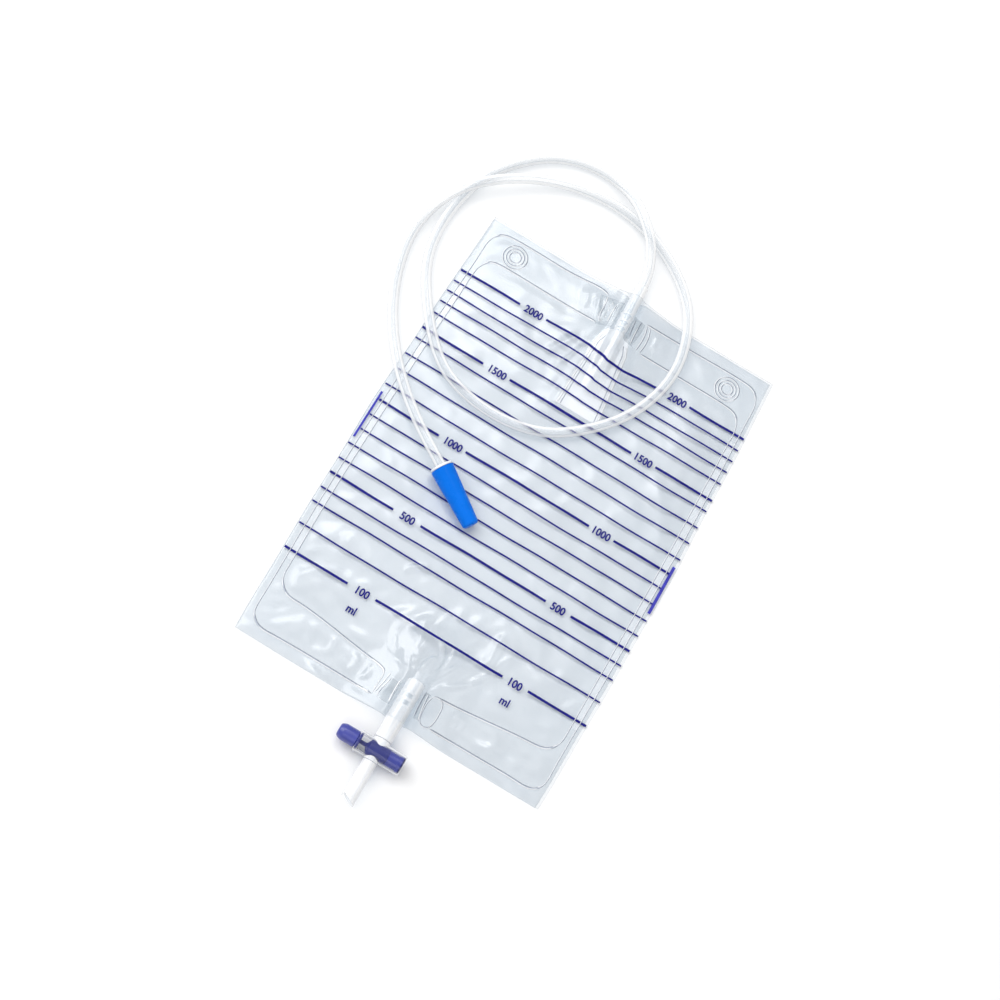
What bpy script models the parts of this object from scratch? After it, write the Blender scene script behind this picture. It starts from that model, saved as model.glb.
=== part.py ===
"""Urine drainage bag with inlet tube, reflux valve and push-pull drain valve, lying flat.

Everything is modelled on the bag's own plane first: x from its centre line, y from its bottom
edge, z up from the table. The last step moves the assembly onto the middle of its footprint.
"""

import math

import bmesh
import bpy
import numpy as np
from mathutils import Matrix, Vector

# Bag
BAG_LENGTH = 0.320
BAG_WIDTH = 0.210
SIDE_BULGE = 0.033
FILM = 0.0004
GAP = 0.0003
WELD_INSET_SIDE = 0.0072
WELD_INSET_TOP = 0.028
WELD_INSET_BOTTOM = 0.033

# Inlet port, its lean towards -x, and the tube pushed into it
INLET_X = 0.0003
INLET_LEAN = math.radians(2.9)
INLET_RADIUS = 0.0042
INLET_STANDOUT = 0.0085
INLET_INSIDE = 0.0385
INLET_BORE = 0.0024
INLET_RIB = 0.0004
INLET_RIBS_BELOW_TOP_EDGE = (0.0145, 0.0200, 0.0245)
TUBE_RADIUS = 0.0034
TUBE_SOCKET = 0.0090

# Reflux valve: two flaps welded into a flat sleeve below the inlet port
FLAP_FILM = 0.00025
FLAP_TOP = 0.028
FLAP_LENGTH = 0.061
FLAP_NECK = 0.0079
FLAP_SHOULDER_DROP = 0.012
FLAP_SHOULDER = 0.0123
FLAP_HEM = 0.0158

# Outlet port
OUTLET_X = 0.0044
OUTLET_RADIUS = 0.0058
OUTLET_BORE = 0.0043
OUTLET_RIB = 0.0002
OUTLET_RIBS = (0.0095, 0.0143, 0.0190)
OUTLET_INSIDE = 0.0275
OUTLET_OUTSIDE = 0.0134

# Drain valve
BARREL_RADIUS = 0.0065
BARREL_WALL = 0.0010
BARREL_LEFT = 0.0130
BARREL_RIGHT = 0.0180
COLLAR_REACH = 0.0072
SPIGOT_LENGTH = 0.0085
SPIGOT_WALL = 0.0012
LOWER_SPIGOT_RADIUS = 0.00305
SPOOL_KNOB_LENGTH = 0.0124
SPOOL_STEM_RADIUS = 0.0013
SPOOL_LAND_OFFSET = 0.0013
SPOOL_LAND_HALF = 0.0062
SPOOL_SCALLOP_DEPTH = 0.0016
SPOOL_SCALLOP_HALF = 0.0043

# Drain tip
TIP_RADIUS = 0.00475
TIP_LENGTH = 0.0280
TIP_SLANT = math.radians(28.7)

# Patient connector and its cap
CONNECTOR_LENGTH = 0.036
CONNECTOR_FLANGE = 0.0015
CONNECTOR_FLANGE_RADIUS = 0.0072
CONNECTOR_ROOT_RADIUS = 0.0056
CONNECTOR_TIP_RADIUS = 0.0036
CONNECTOR_BORE = 0.0022
CONNECTOR_SOCKET = 0.0070
CONNECTOR_STEPS = 4
CAP_LENGTH = 0.0400
CAP_MOUTH_RADIUS = 0.0075
CAP_END_RADIUS = 0.0053
CAP_WALL = 0.0011

# Gathers of the front film
OUTLET_CREASES = 7
OUTLET_CREASE_REACH = 0.060
OUTLET_CREASE_HEIGHT = 0.0014
INLET_CREASES = 5
INLET_CREASE_REACH = 0.050
INLET_CREASE_HEIGHT = 0.0007
WAVE_HEIGHT = 0.0004

ROUND_STEPS = 24
SIN_22 = math.sin(math.radians(22.5))
SIN_45 = math.sqrt(0.5)
FACET_ROOM = 1.0 / math.cos(math.radians(11.25))

FLAP_HEM_Y = BAG_LENGTH - FLAP_TOP - FLAP_LENGTH

# How far the films stand apart, half each side of their middle plane
FLAT_HALF = GAP / 2
POCKET_HALF = FLAT_HALF + FLAP_FILM + GAP
FLAP_HALF = GAP / 2
INLET_WRAP = (INLET_RADIUS + 2 * GAP + FLAP_FILM + 0.0001) * FACET_ROOM - POCKET_HALF + GAP / 2
FLAP_WRAP = (INLET_RADIUS + GAP) * FACET_ROOM - FLAP_HALF
OUTLET_WRAP = (OUTLET_RADIUS + OUTLET_RIB + GAP) * FACET_ROOM - FLAT_HALF
INLET_Z = FILM + POCKET_HALF + INLET_WRAP
OUTLET_Z = FILM + FLAT_HALF + OUTLET_WRAP

# The room the films leave round the reflux valve, and how fast they close beyond it
POCKET_ROOM = 0.001
POCKET_RAMP = 0.004

# How the films come back together beyond a port's inner end, and slope down beside it
INLET_CLOSE = 0.044
OUTLET_CLOSE = 0.055
SIDE_SLOPE = 0.030

# Grid lines this near the ports' axis lean with it
AXIS_FOLLOW = 0.040

# Grid lines of the films, from the middle outwards and from the bottom up
OUTER_COLUMNS = (0.027, 0.033, 0.040, 0.050, 0.062, 0.075, 0.088)
NEAR_COLUMNS = 3
OUTLET_ROWS = (0.0, 0.009, 0.018, 0.028, 0.033, 0.038, 0.043, 0.048, 0.054, 0.061, 0.069, 0.078, 0.088)
INLET_ROWS = (0.028, 0.040, 0.050, 0.060, 0.070, 0.080)
TOP_ROWS = (0.018, 0.009, 0.0)
MIDDLE_ROWS = 8
BACK_MIDDLE_ROWS = 3

# The tube's route, chosen by eye: x, y and the height of the tube's underside
ON_TABLE = 0.0001
ON_FILM = 0.0019
OVER_TUBE = 2 * TUBE_RADIUS + 0.0007
CAP_REST_Z = 0.0016 + CAP_MOUTH_RADIUS
CAP_TAPER = math.atan2(CAP_MOUTH_RADIUS - CAP_END_RADIUS, CAP_LENGTH)
CONNECTOR_AT = (-0.0509, 0.1517)
CONNECTOR_HEADING = math.radians(-32.6)
TUBE_ROUTE = [
    (-0.0018, 0.3399, 0.0034),
    (-0.0083, 0.3542, 0.0068),
    (-0.0161, 0.3642, OVER_TUBE),
    (-0.0299, 0.3767, 0.0063),
    (-0.0449, 0.3846, 0.0022),
    (-0.0621, 0.3873, 0.0002),
    (-0.0885, 0.3801, ON_TABLE),
    (-0.1117, 0.3602, ON_TABLE),
    (-0.1264, 0.3345, ON_TABLE),
    (-0.1316, 0.3035, ON_TABLE),
    (-0.1288, 0.2751, 0.0002),
    (-0.1193, 0.2531, 0.0011),
    (-0.1031, 0.2304, ON_FILM),
    (-0.0830, 0.2112, ON_FILM),
    (-0.0581, 0.2018, ON_FILM),
    (-0.0302, 0.2011, ON_FILM),
    (-0.0063, 0.2080, 0.0020),
    (0.0135, 0.2221, 0.0028),
    (0.0304, 0.2420, 0.0026),
    (0.0414, 0.2655, ON_FILM),
    (0.0453, 0.2894, ON_FILM),
    (0.0419, 0.3117, 0.0022),
    (0.0311, 0.3349, 0.0007),
    (0.0102, 0.3542, ON_TABLE),
    (-0.0172, 0.3670, ON_TABLE),
    (-0.0459, 0.3709, ON_TABLE),
    (-0.0720, 0.3663, 0.0013),
    (-0.0945, 0.3555, 0.0050),
    (-0.1132, 0.3417, OVER_TUBE),
    (-0.1283, 0.3264, OVER_TUBE),
    (-0.1386, 0.3098, 0.0052),
    (-0.1437, 0.2934, 0.0015),
    (-0.1438, 0.2716, ON_TABLE),
    (-0.1348, 0.2400, ON_TABLE),
    (-0.1179, 0.2101, 0.0012),
    (-0.0939, 0.1834, 0.0025),
    (-0.0701, 0.1644, 0.0044),
]
TUBE_POINTS = 70

NAME = "urine_drainage_bag"


def smooth(t):
    """Runs from 0 to 1 with level ends."""
    t = min(max(t, 0.0), 1.0)
    return t * t * (3.0 - 2.0 * t)


def ramp(t):
    """Runs straight from 0 to 1."""
    return min(max(t, 0.0), 1.0)


def mix(a, b, t):
    return a + (b - a) * t


# Materials and collections


def make_material(name, colour, roughness, alpha=1.0):
    material = bpy.data.materials.new(name)
    material.use_nodes = True
    shader = material.node_tree.nodes["Principled BSDF"]
    shader.inputs["Base Color"].default_value = (*colour, 1.0)
    shader.inputs["Roughness"].default_value = roughness
    shader.inputs["Metallic"].default_value = 0.0
    shader.inputs["Alpha"].default_value = alpha
    material.diffuse_color = (*colour, alpha)
    return material


def make_collection(name):
    collection = bpy.data.collections.new(name)
    bpy.context.scene.collection.children.link(collection)
    return collection


def add_object(name, data, collection, material=None):
    part = bpy.data.objects.new(name, data)
    collection.objects.link(part)
    if material:
        data.materials.append(material)
    return part


def aim(part, place, direction):
    """Puts a part's origin at a place with its own z axis along a direction."""
    part.location = place
    part.rotation_mode = "QUATERNION"
    part.rotation_quaternion = Vector(direction).to_track_quat("Z", "Y")


# Turned pieces


def turned(name, profile, collection, material, closed=True, steps=ROUND_STEPS):
    """A round piece about its own z axis; the profile runs down its outer side first."""
    mesh = bpy.data.meshes.new(name)
    points = [(radius, 0.0, height) for radius, height in profile]
    edges = [(i, i + 1) for i in range(len(points) - 1)]
    if closed:
        edges.append((len(points) - 1, 0))
    mesh.from_pydata(points, edges, [])
    part = add_object(name, mesh, collection, material)
    screw = part.modifiers.new("turn", "SCREW")
    screw.steps = steps
    screw.render_steps = steps
    screw.use_merge_vertices = True
    screw.merge_threshold = 0.00001
    screw.use_smooth_shade = True
    return part


def arc(radius, height, size, start, end, count):
    """Points of a round corner, angles in degrees from the outward direction."""
    points = []
    for i in range(count + 1):
        angle = math.radians(mix(start, end, i / count))
        points.append((radius + size * math.cos(angle), height + size * math.sin(angle)))
    return points


def cut(part, cutter, operation="DIFFERENCE"):
    modifier = part.modifiers.new(cutter.name, "BOOLEAN")
    modifier.object = cutter
    modifier.operation = operation
    modifier.solver = "EXACT"
    cutter.hide_render = True
    cutter.display_type = "WIRE"


# The films' shape


def inlet_axis_x(y):
    return INLET_X - math.tan(INLET_LEAN) * (y - BAG_LENGTH)


def port_share(y):
    """0 near the outlet, 1 near the inlet: which port the films' middle lines follow."""
    start = OUTLET_INSIDE + OUTLET_CLOSE
    end = FLAP_HEM_Y - POCKET_ROOM - POCKET_RAMP
    return smooth((y - start) / (end - start))


def axis_x(y):
    return mix(OUTLET_X, inlet_axis_x(y), port_share(y))


def wrap_radius(y):
    return mix(OUTLET_WRAP, INLET_WRAP, port_share(y))


def tent(u, wrap):
    """Half the room between two films drawn round a tube and meeting beside it at 45 degrees."""
    u = abs(u)
    if u < wrap * SIN_45:
        return math.sqrt(wrap**2 - u**2)
    return max(wrap / SIN_45 - u, 0.0)


def flap_half_width(y):
    """Half the width of the reflux valve: a neck on the port, shoulders, then a slow flare."""
    below_top = BAG_LENGTH - FLAP_TOP - y
    drop = FLAP_SHOULDER_DROP
    if below_top < drop:
        return mix(FLAP_NECK, FLAP_SHOULDER, ramp(below_top / drop))
    return mix(FLAP_SHOULDER, FLAP_HEM, ramp((below_top - drop) / (FLAP_LENGTH - drop)))


def pocket(u, y):
    """1 where the reflux valve lies between the films, falling to 0 just outside it."""
    beside = 1.0 - ramp((abs(u) - flap_half_width(y) - POCKET_ROOM) / POCKET_RAMP)
    below = 1.0 - ramp((FLAP_HEM_Y - POCKET_ROOM - y) / POCKET_RAMP)
    return beside * below


def inlet_hold(y):
    """1 on the inlet port, falling to 0 where the films have come together again."""
    end = BAG_LENGTH - INLET_INSIDE - 0.0015
    return smooth((y - end + INLET_CLOSE) / INLET_CLOSE)


def outlet_hold(y):
    end = OUTLET_INSIDE + 0.001
    return smooth((end + OUTLET_CLOSE - y) / OUTLET_CLOSE)


def port_hold(y):
    return max(inlet_hold(y), outlet_hold(y))


def room_half(u, y):
    """Half the room between the two films."""
    flat = mix(FLAT_HALF, POCKET_HALF, pocket(u, y))
    return flat + port_hold(y) * tent(u, wrap_radius(y))


def middle_z(u, y):
    """Height of the middle plane between the films, which rises to each port's axis."""
    wrap = wrap_radius(y)
    beside = 1.0 - smooth((abs(u) - wrap / SIN_45) / SIDE_SLOPE)
    flat = mix(FLAT_HALF, POCKET_HALF, pocket(u, y))
    return FILM + flat + port_hold(y) * wrap * beside


def fan(u, rise, count, reach, height):
    """Creases that spread from a port's inner end; rise is the way along the bag from there."""
    distance = math.hypot(u, rise)
    if rise <= 0.0 or distance >= reach:
        return 0.0
    angle = math.atan2(u, rise)
    near = smooth((distance - 0.004) / 0.012)
    far = 1.0 - smooth((distance - 0.3 * reach) / (0.7 * reach))
    lobe = math.cos(angle * count * 0.5) ** 2
    return height * near * far * (lobe - 0.25) * (1.0 if lobe > 0.25 else 0.0)


def waves(x, y):
    """Low swells of the slack front film, gone at the welds."""
    across = abs(x) / (BAG_WIDTH / 2 - WELD_INSET_SIDE)
    up = (y - WELD_INSET_BOTTOM) / (BAG_LENGTH - WELD_INSET_TOP - WELD_INSET_BOTTOM)
    if across >= 1.0 or not 0.0 < up < 1.0:
        return 0.0
    fade = smooth(8 * (1 - across)) * smooth(8 * up) * smooth(8 * (1 - up))
    swell = math.sin(2 * math.pi * x / 0.083 + 0.6) * math.cos(2 * math.pi * y / 0.117)
    return WAVE_HEIGHT * fade * 0.5 * (1.0 + swell)


def front_under(x, u, y):
    """Underside of the front film."""
    creases = fan(u, y - OUTLET_INSIDE, OUTLET_CREASES, OUTLET_CREASE_REACH, OUTLET_CREASE_HEIGHT)
    inlet_end = BAG_LENGTH - INLET_INSIDE
    creases += fan(u, inlet_end - y, INLET_CREASES, INLET_CREASE_REACH, INLET_CREASE_HEIGHT)
    return middle_z(u, y) + room_half(u, y) + creases + waves(x, y)


def back_top(x, u, y):
    """Upper side of the back film, which lies flat on the table away from the ports."""
    return middle_z(u, y) - room_half(u, y)


def near_columns(y):
    """Grid lines round the port and the edge of the reflux valve, measured from the axis."""
    wrap = wrap_radius(y)
    shoulder = flap_half_width(y) + POCKET_ROOM
    lines = [wrap * SIN_22, wrap * SIN_45, wrap / SIN_45]
    lines.append(0.5 * (wrap / SIN_45 + shoulder))
    lines.append(shoulder)
    lines.append(shoulder + POCKET_RAMP)
    return lines


def column_lines(outer, y):
    right = near_columns(y) + list(outer)
    return [-line for line in reversed(right)] + [0.0] + right


def film_point(u, y, surface):
    """A grid line's crossing, moved with the port's axis, the bulged sides and the surface."""
    half = BAG_WIDTH / 2
    x = u + axis_x(y) * ramp((half - abs(u)) / (half - AXIS_FOLLOW))
    along = 2 * y / BAG_LENGTH - 1
    bulge = 1.0 + SIDE_BULGE * (1 - along**2)
    return Vector((x * mix(1.0, bulge, ramp(abs(x) / half)), y, surface(x, u, y)))


def film(name, outer, rows, surface, offset, thickness, collection, material):
    """An open grid laid on a height rule and thickened by Solidify."""
    columns = len(column_lines(outer, 0.0))
    bm = bmesh.new()
    bmesh.ops.create_grid(bm, x_segments=columns - 1, y_segments=len(rows) - 1, size=1.0)
    for vert in bm.verts:
        column = round((vert.co.x + 1) / 2 * (columns - 1))
        y = rows[round((vert.co.y + 1) / 2 * (len(rows) - 1))]
        vert.co = film_point(column_lines(outer, y)[column], y, surface)
    mesh = bpy.data.meshes.new(name)
    bm.to_mesh(mesh)
    bm.free()
    part = add_object(name, mesh, collection, material)
    solidify = part.modifiers.new("thickness", "SOLIDIFY")
    solidify.thickness = thickness
    solidify.offset = offset
    mesh.shade_smooth()
    return part


def film_rows(middle_rows):
    """Rows near the outlet, a few across the middle, and rows up the inlet to the top edge."""
    top = [BAG_LENGTH - row for row in reversed(INLET_ROWS)]
    low = OUTLET_ROWS[-1]
    edge = FLAP_HEM_Y - POCKET_ROOM
    high = edge - POCKET_RAMP
    middle = [mix(low, high, (i + 1) / (middle_rows + 1)) for i in range(middle_rows)]
    above = [BAG_LENGTH - inset for inset in TOP_ROWS]
    return list(OUTLET_ROWS) + middle + [high, edge] + top + above


def add_films(collection, materials):
    outer = list(OUTER_COLUMNS) + [BAG_WIDTH / 2 - WELD_INSET_SIDE, BAG_WIDTH / 2]
    film("front_film", outer, film_rows(MIDDLE_ROWS), front_under, 1.0, FILM,
         collection, materials["front_film"])
    outer = list(OUTER_COLUMNS[:NEAR_COLUMNS]) + [BAG_WIDTH / 2]
    film("back_film", outer, film_rows(BACK_MIDDLE_ROWS), back_top, -1.0, FILM,
         collection, materials["back_film"])


# Reflux valve


def flap_half_room(u, y):
    return FLAP_HALF + inlet_hold(y) * tent(u, FLAP_WRAP)


def add_flap(name, side, collection, material):
    """One film of the reflux valve: side is 1 for the front one and -1 for the back one."""
    rows = [FLAP_HEM_Y]
    rows += [BAG_LENGTH - row for row in reversed(INLET_ROWS)]
    near = [0.0, FLAP_WRAP * SIN_22, FLAP_WRAP * SIN_45, FLAP_WRAP / SIN_45]
    columns = 2 * (len(near) + 2) - 1
    bm = bmesh.new()
    bmesh.ops.create_grid(bm, x_segments=columns - 1, y_segments=len(rows) - 1, size=1.0)
    for vert in bm.verts:
        index = round((vert.co.x + 1) / 2 * (columns - 1)) - columns // 2
        y = rows[round((vert.co.y + 1) / 2 * (len(rows) - 1))]
        width = flap_half_width(y)
        lines = near + [0.5 * (near[-1] + width), width]
        u = math.copysign(lines[abs(index)], index)
        z = middle_z(u, y) + side * flap_half_room(u, y)
        vert.co = Vector((axis_x(y) + u, y, z))
    mesh = bpy.data.meshes.new(name)
    bm.to_mesh(mesh)
    bm.free()
    part = add_object(name, mesh, collection, material)
    solidify = part.modifiers.new("thickness", "SOLIDIFY")
    solidify.thickness = FLAP_FILM
    solidify.offset = side
    mesh.shade_smooth()
    return part


# Ports


def ribbed_side(radius, rib, places, rib_width=0.0010):
    """Outer side of a port, top to bottom, with a raised welding rib at each place."""
    points = []
    for place in sorted(places, reverse=True):
        points.append((radius, place + rib_width))
        points.append((radius + rib, place + rib_width / 2))
        points.append((radius + rib, place - rib_width / 2))
        points.append((radius, place - rib_width))
    return points


def add_inlet_port(collection, material):
    """Sleeve with a socket for the tube at its mouth and welding ribs between the films."""
    chamfer = 0.0003
    top = INLET_STANDOUT
    bottom = -INLET_INSIDE
    socket = TUBE_RADIUS + GAP
    ribs = [-below for below in INLET_RIBS_BELOW_TOP_EDGE]
    profile = [(INLET_RADIUS - chamfer, top), (INLET_RADIUS, top - chamfer)]
    profile += ribbed_side(INLET_RADIUS, INLET_RIB, ribs)
    profile += [(INLET_RADIUS, bottom + 0.002), (INLET_RADIUS - 0.0008, bottom)]
    profile += [(INLET_BORE, bottom), (INLET_BORE, top - TUBE_SOCKET)]
    profile += [(socket, top - TUBE_SOCKET), (socket, top)]
    part = turned("inlet_port", profile, collection, material)
    aim(part, inlet_place(), inlet_direction())
    return part


def add_outlet_port(collection, material):
    """Moulded outlet tube with a rounded inner lip and welding ribs between the films."""
    top = OUTLET_INSIDE
    bottom = -OUTLET_OUTSIDE
    lip = 0.0012
    profile = [(OUTLET_BORE, top)]
    profile += arc(OUTLET_RADIUS - lip, top - lip, lip, 90, 0, 3)
    profile += ribbed_side(OUTLET_RADIUS, OUTLET_RIB, OUTLET_RIBS)
    profile += [(OUTLET_RADIUS, bottom), (OUTLET_BORE, bottom)]
    part = turned("outlet_port", profile, collection, material)
    aim(part, (OUTLET_X, 0.0, OUTLET_Z), (0.0, 1.0, 0.0))
    return part


# Drain valve


def valve_y():
    """Where the barrel's axis crosses the outlet's axis."""
    return -OUTLET_OUTSIDE - GAP - COLLAR_REACH


def valve_place():
    return Vector((OUTLET_X, valve_y(), OUTLET_Z))


def add_valve_body(collection, cutters, material):
    """Clear barrel crossed by a spigot up into the outlet port and one down into the tip."""
    left = -BARREL_LEFT
    right = BARREL_RIGHT
    bead = 0.0003
    profile = [(0.0, right), (BARREL_RADIUS - 0.0005, right), (BARREL_RADIUS, right - 0.0005)]
    profile += [(BARREL_RADIUS, left + 0.0020), (BARREL_RADIUS + bead, left + 0.0014)]
    profile += [(BARREL_RADIUS + bead, left + 0.0004), (BARREL_RADIUS, left), (0.0, left)]
    body = turned("valve_body", profile, collection, material, closed=False)
    aim(body, valve_place(), (1.0, 0.0, 0.0))

    upper = OUTLET_BORE - GAP
    lower = LOWER_SPIGOT_RADIUS
    collar = COLLAR_REACH
    end = COLLAR_REACH + SPIGOT_LENGTH
    cross = [(0.0, end), (upper - 0.0005, end), (upper, end - 0.001), (upper, collar)]
    cross += [(OUTLET_RADIUS, collar), (OUTLET_RADIUS, 0.0), (TIP_RADIUS, 0.0), (TIP_RADIUS, -collar)]
    cross += [(lower, -collar), (lower, -end + 0.001), (lower - 0.0004, -end), (0.0, -end)]
    spigots = turned("valve_spigots", cross, cutters, None, closed=False)
    aim(spigots, valve_place(), (0.0, 1.0, 0.0))
    cut(body, spigots, "UNION")

    bore = BARREL_RADIUS - BARREL_WALL
    margin = 0.002
    ends = [(0.0, right + margin), (bore, right + margin), (bore, left - margin), (0.0, left - margin)]
    barrel_bore = turned("valve_barrel_bore", ends, cutters, None, closed=False)
    aim(barrel_bore, valve_place(), (1.0, 0.0, 0.0))
    cut(body, barrel_bore)

    upper_bore = upper - SPIGOT_WALL
    lower_bore = lower - 0.7 * SPIGOT_WALL
    ends = [(0.0, end + margin), (upper_bore, end + margin), (upper_bore, 0.0)]
    ends += [(lower_bore, 0.0), (lower_bore, -end - margin), (0.0, -end - margin)]
    flow_bore = turned("valve_flow_bore", ends, cutters, None, closed=False, steps=24)
    aim(flow_bore, valve_place(), (0.0, 1.0, 0.0))
    cut(body, flow_bore)
    return body


def add_valve_spool(collection, cutters, material):
    """Push-pull spool: knob, seal rim, slim stem, thick land that closes the ports, and tail."""
    land = BARREL_RADIUS - BARREL_WALL - GAP
    right = BARREL_RIGHT - GAP
    tail = land - 0.0006
    disc = right - 0.0028
    land_left = SPOOL_LAND_OFFSET - SPOOL_LAND_HALF
    land_right = SPOOL_LAND_OFFSET + SPOOL_LAND_HALF
    stem = SPOOL_STEM_RADIUS
    rim_left = -BARREL_LEFT + 0.0006
    rim_right = rim_left + 0.0012
    knob = -BARREL_LEFT - GAP
    knob_end = knob - SPOOL_KNOB_LENGTH
    profile = [(0.0, right - 0.0008), (land - 0.0012, right - 0.0008), (land - 0.0009, right)]
    profile += [(land, right - 0.0003), (land, disc), (tail, disc - 0.0004)]
    profile += [(tail, land_right + 0.0004), (land, land_right)]
    profile += [(land, land_left), (stem, land_left - 0.0022), (stem, rim_right + 0.0002)]
    profile += [(land, rim_right), (land, rim_left), (land - 0.0008, rim_left - 0.0006)]
    profile += [(land - 0.0008, knob + 0.0001), (land - 0.0003, knob), (land, knob - 0.0003)]
    profile += [(land, knob_end + 0.0030), (land - 0.0014, knob_end), (0.0, knob_end)]
    spool = turned("valve_spool", profile, collection, material, closed=False)
    aim(spool, valve_place(), (1.0, 0.0, 0.0))

    depth = SPOOL_SCALLOP_DEPTH
    scallop_radius = (SPOOL_SCALLOP_HALF**2 + depth**2) / (2 * depth)
    for side, name in ((1, "upper"), (-1, "lower")):
        place = valve_place()
        place += Vector((SPOOL_LAND_OFFSET, side * (land - depth + scallop_radius), 0.0))
        scallop = turned("spool_" + name + "_scallop", [
            (0.0, 2 * land), (scallop_radius, 2 * land),
            (scallop_radius, -2 * land), (0.0, -2 * land),
        ], cutters, None, closed=False, steps=32)
        aim(scallop, place, (0.0, 0.0, 1.0))
        cut(spool, scallop)
    return spool


def add_drain_tip(collection, cutters, material):
    """Short tube pushed over the lower spigot and cut off at a slant."""
    bore = LOWER_SPIGOT_RADIUS + GAP
    top = 0.0
    profile = [(TIP_RADIUS, top), (TIP_RADIUS, -TIP_LENGTH), (bore, -TIP_LENGTH), (bore, top)]
    tip = turned("drain_tip", profile, collection, material)
    start = valve_y() - COLLAR_REACH - GAP
    aim(tip, (OUTLET_X, start, OUTLET_Z), (0.0, 1.0, 0.0))

    size = 4 * TIP_RADIUS
    bpy.ops.mesh.primitive_cube_add(size=size)
    slant = bpy.context.object
    slant.name = "drain_tip_slant"
    for owner in slant.users_collection:
        owner.objects.unlink(slant)
    cutters.objects.link(slant)
    low_corner = Vector((OUTLET_X + TIP_RADIUS, start - TIP_LENGTH, OUTLET_Z))
    turn = Matrix.Rotation(-TIP_SLANT, 4, "Z")
    slant.matrix_world = Matrix.Translation(low_corner) @ turn @ Matrix.Translation((0, -size / 2, 0))
    cut(tip, slant)
    return tip


# Tube, connector and cap


def spline(points, count):
    """Evenly spaced points on the smooth curve through the given ones."""
    points = np.array(points)
    chords = np.sqrt(np.linalg.norm(np.diff(points, axis=0), axis=1))
    knots = np.concatenate([[0.0], np.cumsum(chords)])
    size = len(points)
    steps = np.diff(knots)
    matrix = np.eye(size)
    right = np.zeros((size, 3))
    for i in range(1, size - 1):
        matrix[i, i - 1 : i + 2] = steps[i - 1], 2 * (steps[i - 1] + steps[i]), steps[i]
        ahead = (points[i + 1] - points[i]) / steps[i]
        right[i] = 6 * (ahead - (points[i] - points[i - 1]) / steps[i - 1])
    bends = np.linalg.solve(matrix, right)
    at = np.linspace(0.0, knots[-1], 40 * size)
    k = np.clip(np.searchsorted(knots, at, side="right") - 1, 0, size - 2)
    step = steps[k][:, None]
    a = (knots[k + 1] - at)[:, None] / step
    b = 1.0 - a
    curve = a * points[k] + b * points[k + 1]
    curve += ((a**3 - a) * bends[k] + (b**3 - b) * bends[k + 1]) * step**2 / 6
    run = np.concatenate([[0.0], np.cumsum(np.linalg.norm(np.diff(curve, axis=0), axis=1))])
    even = np.linspace(0.0, run[-1], count)
    return np.column_stack([np.interp(even, run, curve[:, i]) for i in range(3)])


def connector_direction():
    """Along the connector to its tip; the cap's lower side then lies level on the film."""
    level = math.cos(CAP_TAPER)
    heading = CONNECTOR_HEADING
    return Vector((level * math.cos(heading), level * math.sin(heading), -math.sin(CAP_TAPER)))


def connector_place():
    return Vector((*CONNECTOR_AT, CAP_REST_Z))


def inlet_direction():
    return Vector((-math.sin(INLET_LEAN), math.cos(INLET_LEAN), 0.0))


def inlet_place():
    return Vector((INLET_X, BAG_LENGTH, INLET_Z))


def tube_line():
    """The tube's centre line: straight in its two sockets and along the route between them."""
    mouth = inlet_place() + inlet_direction() * INLET_STANDOUT
    start = mouth - inlet_direction() * (TUBE_SOCKET - GAP)
    end = connector_place() + connector_direction() * (CONNECTOR_SOCKET - GAP)
    route = [mouth + inlet_direction() * 0.002]
    route += [Vector((x, y, under + TUBE_RADIUS)) for x, y, under in TUBE_ROUTE]
    route.append(connector_place() - connector_direction() * 0.002)
    return [start, *spline(route, TUBE_POINTS), end]


def add_inlet_tube(collection, material):
    curve = bpy.data.curves.new("inlet_tube", "CURVE")
    curve.dimensions = "3D"
    curve.bevel_depth = TUBE_RADIUS
    curve.bevel_resolution = 2
    curve.use_fill_caps = True
    points = tube_line()
    line = curve.splines.new("POLY")
    line.points.add(len(points) - 1)
    for target, point in zip(line.points, points):
        target.co = (*point, 1.0)
    line.use_smooth = True
    return add_object("inlet_tube", curve, collection, material)


def add_patient_connector(collection, material):
    """Stepped taper that a catheter is pushed onto, with a flange and a socket for the tube."""
    length = CONNECTOR_LENGTH
    flange = CONNECTOR_FLANGE
    step = (length - flange) / CONNECTOR_STEPS
    lip = 0.0003
    profile = [(CONNECTOR_BORE, length), (CONNECTOR_TIP_RADIUS - lip, length)]
    for i in range(CONNECTOR_STEPS):
        low = mix(CONNECTOR_TIP_RADIUS, CONNECTOR_ROOT_RADIUS, (i + 1) / CONNECTOR_STEPS)
        high = mix(CONNECTOR_TIP_RADIUS, CONNECTOR_ROOT_RADIUS, i / CONNECTOR_STEPS)
        base = length - (i + 1) * step
        profile += [(high, base + step - 2 * lip), (low, base + lip), (low - lip, base)]
    profile += [(CONNECTOR_FLANGE_RADIUS, flange), (CONNECTOR_FLANGE_RADIUS, 0.0)]
    socket = TUBE_RADIUS + GAP
    profile += [(socket, 0.0), (socket, CONNECTOR_SOCKET), (CONNECTOR_BORE, CONNECTOR_SOCKET)]
    part = turned("patient_connector", profile, collection, material)
    aim(part, connector_place(), connector_direction())
    return part


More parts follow.
